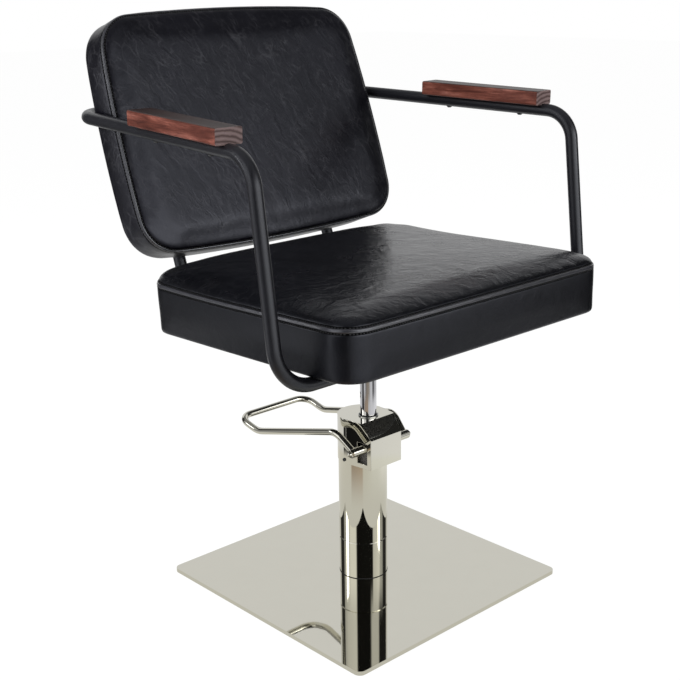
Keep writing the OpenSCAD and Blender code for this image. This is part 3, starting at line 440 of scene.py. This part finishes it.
def shell(form, insets, cell, down):
    """Closed padded shell: its points, its faces and the rings down its side, the seam's first.

    form holds the outline, the panel's height over its insets and the side's profile. insets are the
    panel's close lines. down are steps along the side, 0 at the seam and 1 at the bottom."""
    hx, hy, r = form["hx"], form["hy"], form["r"]
    xs, ys = lines(hx, insets, cell), lines(hy, insets, cell)
    nx, ny = len(xs), len(ys)
    gx, gy = [g.ravel() for g in np.meshgrid(xs, ys)]
    inset = np.minimum(hx - np.abs(gx), hy - np.abs(gy))
    wx, wy = corner_warp(gx, gy, hx, hy, r)
    top = np.stack([wx, wy, form["height"](inset, gx / hx, gy / hy)], 1)
    ring = grid_ring(nx, ny)
    edge = top[ring]
    ahead, behind = np.roll(edge, -1, 0), np.roll(edge, 1, 0)
    tang = (ahead - behind)[:, :2]
    out = np.stack([tang[:, 1], -tang[:, 0]], 1)
    out /= np.linalg.norm(out, axis=1)[:, None]
    side_xy, side_z = form["side"](np.array(down))
    verts = [top]
    for off, z in zip(side_xy, side_z):
        verts.append(np.column_stack([edge[:, :2] + out * off, np.full(len(edge), z)]))
    k = len(ring)
    base = len(top)
    faces = quads(nx, ny)
    rings = [ring] + [list(range(base + q * k, base + (q + 1) * k)) for q in range(len(side_z))]
    for u, d in zip(rings[:-1], rings[1:]):
        for i in range(k):
            faces.append((u[i], d[i], d[(i + 1) % k], u[(i + 1) % k]))
    # underside: the same grid, drawn in from the last ring
    last_off, last_z = side_xy[-1], side_z[-1]
    under = np.stack([wx * (hx + last_off) / hx, wy * (hy + last_off) / hy, np.full(len(wx), last_z)], 1)
    start = base + k * len(side_z)
    below = dict(zip(ring, rings[-1]))
    inside = [g for g in range(nx * ny) if g not in below]
    below.update((g, start + n) for n, g in enumerate(inside))
    verts.append(under[inside])
    faces += [tuple(below[q] for q in (a, d, c, b)) for a, b, c, d in quads(nx, ny)]
    return form["shape"](np.vstack(verts)), faces, rings


def bow_taper(v, hx, hy, bow, taper):
    """Bows the outline's sides outwards and narrows it towards the top."""
    x, y = v[:, 0], v[:, 1]
    nx = x * (1 - taper * y / hy) * (1 + bow[0] / hx * (1 - (y / hy) ** 2))
    ny = y * (1 + bow[1] / hy * (1 - (x / hx) ** 2))
    return np.stack([nx, ny, v[:, 2]], 1)


def side_curve(points):
    """Profile from the seam down: [outward offset, height] pairs, sampled by a share of its length."""
    c = smooth_curve(points, 200)
    length = np.concatenate([[0], np.cumsum(np.linalg.norm(np.diff(c, axis=0), axis=1))])
    length /= length[-1]
    return lambda t: (np.interp(t, length, c[:, 0]), np.interp(t, length, c[:, 1]))


def dome(u, v, power):
    """1 in a panel's middle and 0 at its edges."""
    return (1 - np.abs(u) ** power) * (1 - np.abs(v) ** power)


def seat_form(small=0.0):
    """The seat, in mm, standing on its base. small makes it that much smaller, to leave room to swell."""
    past_shoulder, rise_from = 1.6, 20
    hx, hy = (half - SEAT_BULGE for half in SEAT_HALF)
    knots = smooth_curve([[0, 0], [1, 4.5], [4.3, 10], [10.5, 14.5], [20.5, SHOULDER],
                          [42, SHOULDER + past_shoulder]], 160)

    def edge(inset):
        return np.interp(inset, knots[:, 0], knots[:, 1])

    def height(inset, u, v):
        return SEAT_SIDE + edge(inset) + (SEAT_CROWN - SHOULDER - past_shoulder - small) * dome(u, v, 2.6)

    def shape(v):
        # the rear edge rises, less so at its corners
        rear = np.clip((v[:, 1] / hy - 0.15) / 0.85, 0, None) ** 2
        rise = REAR_RISE * rear * (1 - 0.7 * np.abs(v[:, 0] / hx) ** 4)
        k = np.clip(v[:, 2] - rise_from, 0, None) / (SEAT_SIDE + SHOULDER - rise_from)
        v = bow_taper(v, hx, hy, SEAT_BOW, 0)
        v[:, 1] += 0.45 * rise * np.minimum(k, 1)
        v[:, 2] += rise * np.minimum(k, 1)
        return v

    side = side_curve([[0, SEAT_SIDE], [2.3 - small, SEAT_SIDE - 6], [3.0 - small, 0.7 * SEAT_SIDE],
                       [2.0 - small, 0.3 * SEAT_SIDE], [0.4, 4], [-1.6, 0.8], [-5, 0.3], [-24, 0.3]])
    return {"hx": hx, "hy": hy, "r": SEAT_R, "edge": edge, "height": height, "side": side, "shape": shape,
            "side_length": 1.28 * SEAT_SIDE}


def back_form(small=0.0):
    """The backrest, in mm, lying with its front up and its seam at height 0. small as in seat_form."""
    shoulder = 10.4
    hx, hy = (half - BACK_BULGE for half in BACK_HALF)
    knots = smooth_curve([[0, 0], [1.4, 3], [6, 7], [14, 9.2], [34, shoulder]], 160)

    def edge(inset):
        return np.interp(inset, knots[:, 0], knots[:, 1])

    def height(inset, u, v):
        return edge(inset) + (BACK_CROWN - shoulder - small) * dome(u, v, 2.4)

    def shape(v):
        return bow_taper(v, hx, hy, BACK_BOW, BACK_TAPER)

    side = side_curve([[0, 0], [2.2 - small, -4], [3.4 - small, -0.3 * BACK_T],
                       [3.4 - small, -0.65 * BACK_T], [2.5, -BACK_T + 4],
                       [0.6, -BACK_T + 0.6], [-3, -BACK_T], [-22, -BACK_T]])
    return {"hx": hx, "hy": hy, "r": BACK_R, "edge": edge, "height": height, "side": side, "shape": shape,
            "side_length": 1.28 * (BACK_T + 14)}


# --- upholstery: the swell comes from a cloth simulation, and the seam and its stitches go on after it ---
SIM_FRAMES, PRESSURE, MOST_MOVE = 20, 4.0, 3.5 * MM


def swell(verts, faces, pinned):
    """Cloth simulation of the closed shell under pressure; gives each point's move, capped, in metres."""
    me = bpy.data.meshes.new("sim")
    me.from_pydata([tuple(v) for v in verts], [], [tuple(f) for f in faces])
    obj = bpy.data.objects.new("sim", me)
    scene.collection.objects.link(obj)
    group = obj.vertex_groups.new(name="pin")
    group.add([int(i) for i in pinned], 1.0, "REPLACE")
    mod = obj.modifiers.new("cloth", "CLOTH")
    s = mod.settings
    s.quality, s.mass = 6, 0.25
    s.tension_stiffness = s.compression_stiffness = 18
    s.shear_stiffness, s.bending_stiffness = 8, 0.6
    s.vertex_group_mass = "pin"
    s.use_pressure, s.uniform_pressure_force = True, PRESSURE
    s.effector_weights.gravity = 0
    mod.point_cache.frame_start, mod.point_cache.frame_end = 1, SIM_FRAMES
    for f in range(1, SIM_FRAMES + 1):
        scene.frame_set(f)
    got = obj.evaluated_get(bpy.context.evaluated_depsgraph_get())
    co = np.zeros(len(verts) * 3)
    got.data.vertices.foreach_get("co", co)
    move = co.reshape(-1, 3) - verts
    bpy.data.objects.remove(obj)
    bpy.data.meshes.remove(me)
    scene.frame_set(1)
    size = np.linalg.norm(move, axis=1)[:, None]
    return move * np.minimum(1, MOST_MOVE / np.maximum(size, 1e-9))


def carry(points, verts, move, near=14):
    """The coarse shell's moves, blended onto finer points."""
    tree = kdtree.KDTree(len(verts))
    for i, v in enumerate(verts):
        tree.insert(v, i)
    tree.balance()
    out = np.zeros_like(points)
    for n, p in enumerate(points):
        found = tree.find_n(p, near)
        w = np.array([1 / (d + 0.012) ** 2 for _, _, d in found])
        out[n] = (w[:, None] * move[[i for _, i, _ in found]]).sum(0) / w.sum()
    return out


def surface_lengths(form):
    """Insets from the seam, and the length along the surface that each stands for."""
    inset = np.linspace(0, 60, 600)
    return inset, np.concatenate([[0], np.cumsum(np.hypot(np.diff(inset), np.diff(form["edge"](inset))))])


def insets_at(form, lengths):
    """The insets that lie at given lengths along the surface from the seam."""
    inset, length = surface_lengths(form)
    return list(np.interp(lengths, length, inset))


# lengths from the seam, in mm along the surface
NEAR_SEAM = [0, 1.0, 2.0, 2.9, 3.7, 4.4, 5.1, 6.1, 8.0, 11, 15, 20, 26, 33, 41]
FINE_CELL = 8.0
STITCH_ROW = 4.4
# heights and depths of the seam's band, the parting in its middle and the stitches' grooves, and how
# wide each is; then where the band's painted highlight and the grooves' painted shade end, and each one's
# slot
RIDGE, RIDGE_REACH = 2.0, 3.1
PARTING, PARTING_REACH = 0.5, 0.7
GROOVE, GROOVE_REACH = 1.3, 1.1
BAND_TO, GROOVE_TO = STITCH_ROW - 1.5, STITCH_ROW + 1.3
PANEL, BAND, IN_GROOVE = 0, 1, 2


def coarse_shell(form):
    return shell(form, [0, 7, 15], 10.0, [0.1, 0.2, 0.32, 0.44, 0.56, 0.68, 0.8, 1])


def swollen(form, to_world, points):
    """The fine shell's points, carried along by the simulated coarse one, which starts a little smaller."""
    slack, resting = 2.0, 0.6
    v, faces, rings = coarse_shell(form(slack))
    coarse = to_world(v)
    flat = [i for i in range(len(v)) if v[i, 2] <= v[:, 2].min() + resting]
    move = swell(coarse, faces, sorted(set(rings[0]) | set(flat)))
    full = to_world(coarse_shell(form(0))[0])
    move = coarse + move - full
    return points + carry(points, full, move)


def point_normals(points, faces):
    me = bpy.data.meshes.new("normals")
    me.from_pydata([tuple(p) for p in points], [], faces)
    normals = np.zeros(len(points) * 3)
    me.vertex_normals.foreach_get("vector", normals)
    bpy.data.meshes.remove(me)
    return normals.reshape(-1, 3)


def upholster(form, to_world):
    """A fine shell whose crown and sides come from the cloth simulation, with a raised seam between two
    rows of stitches. Returns its points, faces, each face's finish or painted light, and the rows' curves."""
    whole = form(0)
    insets = insets_at(whole, NEAR_SEAM)
    total = whole["side_length"]
    # rings down the side: as close by the seam as on the panel, then wider apart, then nine to the bottom
    steps = np.concatenate([NEAR_SEAM[1:9], np.arange(17, 60, 6.5)])
    down = [d / total for d in steps if d < 0.66 * total] + list(np.linspace(0.68, 1, 9))
    v, faces, rings = shell(whole, insets, FINE_CELL, down)
    points = to_world(v)
    points = swollen(form, to_world, points)
    # each point's length from the seam
    dist = np.full(len(v), 99.0)
    xs, ys = lines(whole["hx"], insets, FINE_CELL), lines(whole["hy"], insets, FINE_CELL)
    nx, ny = len(xs), len(ys)
    gx, gy = [g.ravel() for g in np.meshgrid(xs, ys)]
    flat_in = np.minimum(whole["hx"] - np.abs(gx), whole["hy"] - np.abs(gy))
    dist[:nx * ny] = np.interp(flat_in, *surface_lengths(whole))
    for ring, t in zip(rings[1:], down):
        dist[ring] = t * total
    # the seam's ridge, the parting line on it, and the grooves that the stitches lie in
    ridge = RIDGE * np.exp(-(dist / RIDGE_REACH) ** 3) - PARTING * np.exp(-(dist / PARTING_REACH) ** 2)
    groove = -GROOVE * np.exp(-((dist - STITCH_ROW) / GROOVE_REACH) ** 2)
    points = points + point_normals(points, faces) * ((ridge + groove) * MM)[:, None]
    reach = [np.mean(dist[list(f)]) for f in faces]
    # faces on the band take the painted highlight, faces in the grooves the painted shade
    finish_or_painted_light = [BAND if d < BAND_TO else IN_GROOVE if d < GROOVE_TO else PANEL for d in reach]

    def from_row(ids):
        return abs(np.mean(dist[ids]) - STITCH_ROW)

    upper = min((grid_ring(nx, ny, k) for k in range(1, 10)), key=from_row)
    lower = min(rings[1:8], key=from_row)
    return points, faces, finish_or_painted_light, [points[upper], points[lower]]


def resample(curve, step):
    """Points along a closed curve, at even steps close to the one asked for."""
    c = np.vstack([curve, curve[:1]])
    s = np.concatenate([[0], np.cumsum(np.linalg.norm(np.diff(c, axis=0), axis=1))])
    n = int(s[-1] / step)
    t = np.arange(n) * s[-1] / n
    return np.stack([np.interp(t, s, c[:, i]) for i in range(3)], 1)


def stitches(name, curves, centre, pitch=4.8 * MM, radius=0.85 * MM):
    """Rows of separate stitches: short bowed threads with a gap between them."""
    steps, spans, sides = 8, 6, 6
    rounds = np.arange(sides) * 2 * math.pi / sides
    verts, faces = [], []
    for curve in curves:
        pts = resample(curve, pitch / steps)
        for start in range(0, len(pts) - steps, steps):
            p = pts[start:start + spans + 1]
            tan = p[-1] - p[0]
            tan /= np.linalg.norm(tan)
            outw = p[spans // 2] - centre
            outw -= tan * outw.dot(tan)
            outw /= np.linalg.norm(outw)
            side = np.cross(tan, outw)
            first = len(verts)
            for j, q in enumerate(p):
                bow = math.sin(math.pi * j / spans)
                mid = q + outw * radius * (1.3 * bow - 0.35)
                rad = radius * (0.45 + 0.55 * math.sqrt(bow)) if 0 < j < spans else radius * 0.35
                verts += [mid + rad * (math.cos(a) * outw + math.sin(a) * side) for a in rounds]
            for j in range(spans):
                here, ahead = first + j * sides, first + (j + 1) * sides
                for a in range(sides):
                    b = (a + 1) % sides
                    faces.append((here + a, ahead + a, ahead + b, here + b))
            faces.append(tuple(first + a for a in range(sides)))
            faces.append(tuple(first + spans * sides + a for a in range(sides - 1, -1, -1)))
    piece(name, verts, faces, thread_mat, "seat")


def subdivided(obj):
    sub = obj.modifiers.new("subdivide", "SUBSURF")
    sub.levels = sub.render_levels = 1


def cushion(name, form, to_world, mat, replaced, centre):
    """A padded cushion in place of its CAD nodes, and its stitches as a piece of their own."""
    points, faces, finish_or_painted_light, rows_of_stitches = upholster(form, to_world)
    obj = piece(name, points, faces, mat, "seat", 180)
    # slots 1 and 2: the seam band's painted highlight and the grooves' painted shade
    obj.data.materials.append(seam_gloss_and_painted_highlight)
    obj.data.materials.append(groove_painted_shade)
    obj.data.polygons.foreach_set("material_index", finish_or_painted_light)
    subdivided(obj)
    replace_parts(obj, *replaced)
    stitches(name.replace("cushion", "stitching"), rows_of_stitches, centre)


seat_mid = seat_pt(np.array([[0, 0, 55.0]]))[0]
back_mid = back_pt(np.array([[0, 0, -25.0]]))[0]
cushion("seat_cushion", seat_form, seat_pt, seat_vinyl, ["seat_cover", "seat_foam"], seat_mid)
cushion("back_cushion", back_form, back_pt, back_vinyl, ["back_cover", "back_foam"], back_mid)


def rear_panel():
    """The backrest's rear: a thin padded board, set in the cover's opening."""
    opening_in, sunk = 23.5, 0.6
    hx, hy = (half - opening_in for half in BACK_HALF)
    knots = smooth_curve([[0, 0], [0.6, 1.2], [2.5, 2.2], [8, 2.8], [20, 3.0]], 80)
    form = {
        "hx": hx, "hy": hy, "r": BACK_R - 22,
        "height": lambda inset, u, v: np.interp(inset, knots[:, 0], knots[:, 1]),
        "side": side_curve([[0, 0], [0.2, -1.2], [0, -2.5], [-2, -3.4], [-6, -3.5]]),
        "shape": lambda v: bow_taper(v, *BACK_HALF, BACK_BOW, -BACK_TAPER),
    }
    v, faces, _ = shell(form, [0, 0.7, 1.6, 3, 6, 12], 14.0, [0.15, 0.35, 0.6, 1])
    # turned over so that its face looks to the rear
    v = np.stack([-v[:, 0], v[:, 1], -BACK_T - v[:, 2] + sunk], 1)
    obj = piece("back_rear_panel", back_pt(v), faces, back_vinyl, "seat", 180)
    subdivided(obj)
    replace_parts(obj, "back_panel")


rear_panel()


def lining():
    """The lining under the seat, pulled flat, with a turned hem."""
    margin, hem = 15, 8
    hx, hy = SEAT_W / 2 - margin, SEAT_D / 2 - margin
    xs, ys = lines(hx, [0, 3, 9], 12.0), lines(hy, [0, 3, 9], 12.0)
    gx, gy = [g.ravel() for g in np.meshgrid(xs, ys)]
    inset = np.minimum(hx - np.abs(gx), hy - np.abs(gy))
    wx, wy = corner_warp(gx, gy, hx, hy, SEAT_R - 14)
    z = -0.45 + 0.12 * np.sin(gx / 31) * np.sin(gy / 27) - 0.25 * (inset < hem)
    v = seat_pt(np.stack([wx, wy, z], 1))
    faces = [(a, d, c, b) for a, b, c, d in quads(len(xs), len(ys))]
    obj = piece("seat_lining", v, faces, M["lining"], "seat", 60)
    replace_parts(obj, "seat_dust_cloth")


lining()


# --- metal and rubber pieces of the pump and the column ---
def bent_path(points, radii, step=math.radians(6)):
    """Points along straight runs joined by arcs."""
    out = [points[0]]
    for a, c, b, r in zip(points[:-2], points[1:-1], points[2:], radii):
        u, v = (c - a) / np.linalg.norm(c - a), (b - c) / np.linalg.norm(b - c)
        ang = math.acos(np.clip(u.dot(v), -1, 1))
        back = r * math.tan(ang / 2)
        inward = (v - u) / np.linalg.norm(v - u)
        middle = c + inward * r / math.cos(ang / 2)
        x = (c - u * back - middle) / r
        for t in np.linspace(0, ang, max(3, int(ang / step) + 1)):
            out.append(middle + r * (x * math.cos(t) + u * math.sin(t)))
    out.append(points[-1])
    return np.array(out)


def swept(name, path, radius, mat, body, sides=24, closed=False):
    """A round bar along a path, with flat ends."""
    n = len(path)
    ahead = np.roll(path, -1, 0) - np.roll(path, 1, 0)
    if not closed:
        ahead[0], ahead[-1] = path[1] - path[0], path[-1] - path[-2]
    ahead /= np.linalg.norm(ahead, axis=1)[:, None]
    side = np.cross(ahead[0], [0, 0, 1.0])
    side /= np.linalg.norm(side)
    verts, faces = [], []
    for p, t in zip(path, ahead):
        side = side - t * side.dot(t)
        side /= np.linalg.norm(side)
        other = np.cross(t, side)
        for a in np.arange(sides) * 2 * math.pi / sides:
            verts.append(p + radius * (math.cos(a) * side + math.sin(a) * other))
    for j in range(n if closed else n - 1):
        for a in range(sides):
            a2, k = (a + 1) % sides, (j + 1) % n
            faces.append((j * sides + a, j * sides + a2, k * sides + a2, k * sides + a))
    if not closed:
        faces.append(tuple(range(sides - 1, -1, -1)))
        faces.append(tuple((n - 1) * sides + a for a in range(sides)))
    return piece(name, np.array(verts) * MM, faces, mat, body, 50)


def pedal_rod():
    """The pedal: one bent rod, from boss to boss round the back of the column."""
    radius, in_boss, bends = 6.0, 4, [28, 48, 25]
    half = np.array([[60, AXLE_Y, AXLE_Z], [68, AXLE_Y + 35.5, AXLE_Z + 30],
                     [PEDAL_W / 2 - 1, PEDAL_REACH - 52, AXLE_Z - 19],
                     [PEDAL_W / 2, PEDAL_REACH, AXLE_Z - 6]])
    half[0] += in_boss * (half[1] - half[0]) / np.linalg.norm(half[1] - half[0])
    points = [*(half * [-1, 1, 1]), *half[::-1]]
    path = bent_path(points, bends + bends[::-1])
    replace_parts(swept("pedal_rod", path, radius, M["chrome"], "pedal"), "pedal_bar")


def welded(name):
    """Points and faces of a CAD node, its split corners joined and its flat faces whole."""
    bm = bmesh.new()
    bm.from_mesh(nodes[name].data)
    bmesh.ops.remove_doubles(bm, verts=bm.verts, dist=1e-6)
    bmesh.ops.dissolve_limit(bm, angle_limit=math.radians(0.5), verts=bm.verts, edges=bm.edges)
    bm.verts.index_update()
    verts = [tuple(v.co) for v in bm.verts]
    faces = [[v.index for v in f.verts] for f in bm.faces]
    bm.free()
    return verts, faces


def eased(obj, width):
    mod = obj.modifiers.new("ease", "BEVEL")
    mod.width, mod.segments, mod.limit_method, mod.angle_limit = width, 2, "ANGLE", math.radians(35)
    return mod


def eased_cover():
    """The pump's cover with its edges eased, so that they catch the light."""
    verts, faces = welded("pump_cover")
    obj = piece("pump_cover_eased", verts, faces, M["chrome"], "base", 180)
    eased(obj, 0.5 * MM).harden_normals = True
    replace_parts(obj, "pump_cover")


def squashed_spring():
    """The plunger's return spring, on a mesh of its own."""
    verts, faces = welded("plunger_spring")
    obj = piece("plunger_coil", verts, faces, M["zinc_steel"], "base", 60)
    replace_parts(obj, "plunger_spring")
    low, high = min(v[2] for v in verts), max(v[2] for v in verts)
    middle = [sum(v[i] for v in verts) / len(verts) for i in (0, 1)]
    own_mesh(obj)


def cover_cheeks():
    """Flat cheeks from the cap's sides to the nose's front corners, open round the axle, and the lids
    that close the gap between each cheek, the cap and the nose."""
    # as in part.scad: the cap, the housing's half width and front, its top, foot, slope and fall
    cap_r, half_w, front, top, bottom, slope, fall = 43.1, 36.0, -57.5, 301.5, 222.0, 19.5, 27.0
    sheet, lap, lid_back, lid_sunk = 1.4, 1, -20.0, 0.02
    window_from, window_to, window_low, window_high = 29, 8, 229.5, 267
    # in plan, the cheek leaves the cap at a tangent and ends at the nose's corner
    ang = math.atan2(front, -half_w) - math.acos(cap_r / math.hypot(half_w, front))
    a = np.array([cap_r * math.cos(ang), cap_r * math.sin(ang)])
    b = np.array([-half_w - 0.05, front + 0.3])
    run = np.linalg.norm(b - a)
    along = (b - a) / run
    out = np.array([along[1], -along[0]])
    cut = run - slope / -along[1]
    near, far = run - window_from, run - window_to
    hole = [(near, window_low), (far, window_low), (far, window_high), (near, window_high)]
    rim = [(0, bottom), (run, bottom), (run, top - fall), (cut, top), (0, top)]
    n = len(rim + hole)
    lid = [a, a + along * cut, (lap - half_w, front + slope), (lap - half_w, lid_back)]
    flat = [(0, 1, 6, 5), (1, 2, 7, 6), (2, 3, 7), (3, 4, 8, 7), (4, 0, 5, 8)]
    for sgn, name in ((1, "pump_cheek_left"), (-1, "pump_cheek_right")):
        verts = []
        for depth in (0.0, -sheet):
            for s, z in rim + hole:
                p = a + along * s + out * depth
                verts.append((sgn * p[0], p[1], z))
        verts += [(sgn * p[0], p[1], top - lid_sunk) for p in lid]
        verts.append((sgn * (lap - half_w), front + 0.3, top - fall - lid_sunk))
        faces = flat + [tuple(n + i for i in f[::-1]) for f in flat]
        for loop in ([0, 1, 2, 3, 4], [8, 7, 6, 5]):
            for c, d in zip(loop, loop[1:] + loop[:1]):
                faces.append((c, c + n, d + n, d))
        q = 2 * n
        faces += [(q, q + 1, q + 2, q + 3), (q + 1, 2, q + 4, q + 2)]
        if sgn < 0:
            faces = [f[::-1] for f in faces]
        eased(piece(name, np.array(verts) * MM, faces, M["chrome"], "base", 1), 0.4 * MM)


def column_foot_ring():
    """The thin rubber ring that the column's sleeve presses on the plate."""
    radius, half_t, height = COLUMN_R - 0.1, 0.6, PLATE_TOP + 0.55
    around = np.linspace(0, 2 * math.pi, 96, endpoint=False)
    path = np.stack([radius * np.cos(around), radius * np.sin(around), np.full(96, height)], 1)
    swept("column_foot_ring", path, half_t, M["rubber"], "base", 10, True)


pedal_rod()
eased_cover()
squashed_spring()
cover_cheeks()
column_foot_ring()


# --- floor, lights and surroundings ---
# What polished metal sees round it, as pairs of a compass direction, in degrees from the camera's side and
# positive to the picture's right, and a grey or a colour. The world has three such patterns, one above the
# other and under a sky, and the floor has four, one outside the other, round an even patch by the plate.
DULL, TAN, TAN_LIGHT = 0.42, (0.20, 0.155, 0.115), (0.24, 0.185, 0.135)
LOW_ROOM = [(-180, DULL), (-141, DULL), (-135, 0.02), (-108, 0.02), (-103, 0.12), (-78, 0.2), (-62, 0.66),
            (-38, 0.66), (-30, 0.02), (0, 0.02), (14, 0.6), (40, 1.6), (76, 1.6), (83, 0.7), (88, 0.18),
            (93, 0.03), (137, 0.02), (143, DULL), (180, DULL)]
ROOM = [(-180, DULL), (-141, DULL), (-135, 0.02), (-108, 0.02), (-103, 0.34), (-78, 0.46), (-62, 0.66),
        (-38, 0.66), (-30, 0.005), (44, 0.006), (50, 0.50), (80, 0.60), (90, 0.34), (98, 0.32), (106, 0.2),
        (110, 0.02), (137, 0.02), (143, DULL), (180, DULL)]
HIGH_ROOM = [(-180, DULL), (-141, DULL), (-135, 0.02), (-108, 0.02), (-103, 0.34), (-78, 0.46), (-38, 0.5),
             (-30, 0.005), (30, 0.005), (42, 0.4), (74, 0.4), (84, 0.01), (137, 0.01), (143, DULL),
             (180, DULL)]
SKY = [(0.66, 0.03), (0.8, 0.14)]
BY_PLATE = (0.37, 0.365, 0.34, 1)
NEAR = [(-180, (0.42, 0.41, 0.38)), (-58, (0.37, 0.36, 0.33)), (-50, TAN), (-4, TAN_LIGHT),
        (4, (0.36, 0.35, 0.31)), (60, (0.42, 0.42, 0.39)), (110, (0.5, 0.5, 0.48)), (180, (0.42, 0.41, 0.38))]
BY_PUMP = [(-180, DULL), (-98, DULL), (-92, 0.01), (-81, 0.004), (-80.4, 0.34), (-80.0, 0.34), (-79.6, 0.004),
           (-62, 0.01), (-56, 0.3), (-50, TAN), (-4, TAN_LIGHT), (4, 0.36), (60, 0.43), (110, 0.5),
           (180, DULL)]
BY_RAM = [(-180, DULL), (-100, 0.3), (-84, 0.05), (-66, 0.07), (-52, 0.34), (-44, 0.5), (-38, 0.12),
          (-12, (0.17, 0.145, 0.115)), (14, (0.2, 0.18, 0.15)), (26, 0.34), (52, 0.40), (62, 0.10),
          (84, 0.07), (100, 0.34), (180, DULL)]
FLOOR_ROOM = [(-180, 0.3), (-141, 0.3), (-135, 0.02), (-108, 0.04), (-97, 0.16), (-84, 0.34), (-74, 0.5),
              (-60, 0.5), (-50, 0.01), (-12, 0.008), (2, 0.28), (20, 0.44), (56, 0.48), (84, 0.30),
              (94, 0.05), (108, 0.01), (137, 0.02), (143, 0.3), (180, 0.3)]
TO_CAMERA = math.atan2(EYE[1], EYE[0])


def mixed(t, share, a, b):
    return node(t, "Mix", {0: share, 6: a, 7: b}, data_type="RGBA").outputs[2]


def blended(t, by, low, high, a, b):
    """a where by is under low, b where it is over high, and a soft step between."""
    return mixed(t, ramp(t, by, [(low, 0.0), (high, 1.0)], smooth=True), a, b)


def first_or(t, test, other, first):
    """first for the rays that a test names, and other for the rest."""
    return node(t, "MixShader", {0: test, 1: other, 2: first}).outputs[0]


def round_room(t, vector, stops):
    """A pattern by compass direction, given in degrees from the camera's side."""
    turned = node(t, "Mapping", {"Vector": vector, "Rotation": (0, 0, -TO_CAMERA)}).outputs[0]
    fac = node(t, "TexGradient", {"Vector": turned}, gradient_type="RADIAL").outputs["Fac"]
    return ramp(t, fac, [(0.5 + a / 360, v) for a, v in stops], smooth=True)


def floor():
    """A pale floor that takes the shadow, and is nearly white for the camera."""
    bpy.ops.mesh.primitive_plane_add(size=30, location=(0, 0, 0))
    obj = bpy.context.object
    obj.name = "floor"
    m = bpy.data.materials.new("floor")
    m.use_nodes = True
    t = m.node_tree
    plain = t.nodes["Principled BSDF"]
    plain.inputs["Base Color"].default_value = (0.8, 0.8, 0.8, 1)
    plain.inputs["Roughness"].default_value = 0.9
    plain.inputs["Specular IOR Level"].default_value = 0.0
    path = node(t, "LightPath").outputs
    pale = node(t, "Emission", {"Color": (1, 1, 1, 1), "Strength": 1.06}).outputs[0]
    shown = node(t, "MixShader", {0: 0.9, 1: plain.outputs[0], 2: pale}).outputs[0]
    where = node(t, "TexCoord").outputs["Object"]
    away = node(t, "VectorMath", {0: where}, operation="LENGTH").outputs["Value"]
    look = blended(t, away, 0.32, 0.62, BY_PLATE, round_room(t, where, NEAR))
    for start, end, stops in ((0.60, 0.64, BY_PUMP), (0.92, 1.0, BY_RAM), (1.42, 1.5, FLOOR_ROOM)):
        share = node(t, "MapRange", {"Value": away, "From Min": start, "From Max": end}).outputs[0]
        look = mixed(t, share, look, round_room(t, where, stops))
    mirrored = node(t, "Emission", {"Color": look, "Strength": 2.0}).outputs[0]
    by_gloss = first_or(t, path["Is Glossy Ray"], plain.outputs[0], mirrored)
    last = first_or(t, path["Is Camera Ray"], by_gloss, shown)
    t.links.new(last, t.nodes["Material Output"].inputs["Surface"])
    obj.data.materials.append(m)


floor()


def lamp(name, where, aim, size, power, mirrored=False):
    """A soft rectangle of light. Only the small ones are seen in reflections."""
    light = bpy.data.lights.new(name, "AREA")
    light.shape = "RECTANGLE"
    light.size, light.size_y = size
    light.energy = power
    obj = bpy.data.objects.new(name, light)
    scene.collection.objects.link(obj)
    obj.location = where
    obj.rotation_euler = (Vector(aim) - Vector(where)).to_track_quat("-Z", "Y").to_euler()
    obj.visible_glossy = mirrored


lamp("key_left", (-2.6, 0.6, 1.9), (0, 0, 0.6), (1.6, 2.2), 98)
lamp("fill_right", (2.4, -2.2, 1.8), (0, 0, 0.6), (1.6, 2.4), 45)
lamp("overhead", (0.2, 0.3, 3.4), (0, 0, 0.4), (2.5, 2.5), 22)
lamp("glint_front", (1.38, -1.95, 0.95), (0, -0.28, 0.55), (0.5, 0.36), 2.0, mirrored=True)
lamp("glint_rear", (-1.78, 1.3, 1.05), (-0.29, 0, 0.55), (0.5, 0.36), 2.6, mirrored=True)


def world():
    """White for the camera, a room of light and dark panels for reflections, an even light for the rest."""
    w = bpy.data.worlds.new("studio")
    scene.world = w
    w.use_nodes = True
    t = w.node_tree
    t.nodes.clear()
    out = node(t, "OutputWorld")
    path = node(t, "LightPath").outputs
    way = node(t, "TexCoord").outputs["Generated"]
    rise = node(t, "SeparateXYZ", {0: way}).outputs["Z"]
    look = round_room(t, way, LOW_ROOM)
    look = blended(t, rise, 0.40, 0.415, look, round_room(t, way, ROOM))
    look = blended(t, rise, 0.47, 0.50, look, round_room(t, way, HIGH_ROOM))
    look = blended(t, rise, 0.58, 0.70, look, ramp(t, rise, SKY, smooth=True))

    def background(color, strength):
        return node(t, "Background", {"Color": color, "Strength": strength}).outputs[0]

    room = background(look, 2.0)
    soft, white = background((1, 1, 1, 1), 0.42), background((1, 1, 1, 1), 1.0)
    glossy = first_or(t, path["Is Glossy Ray"], soft, room)
    seen = first_or(t, path["Is Camera Ray"], glossy, white)
    t.links.new(seen, out.inputs["Surface"])


world()
scene.view_settings.view_transform = "Standard"
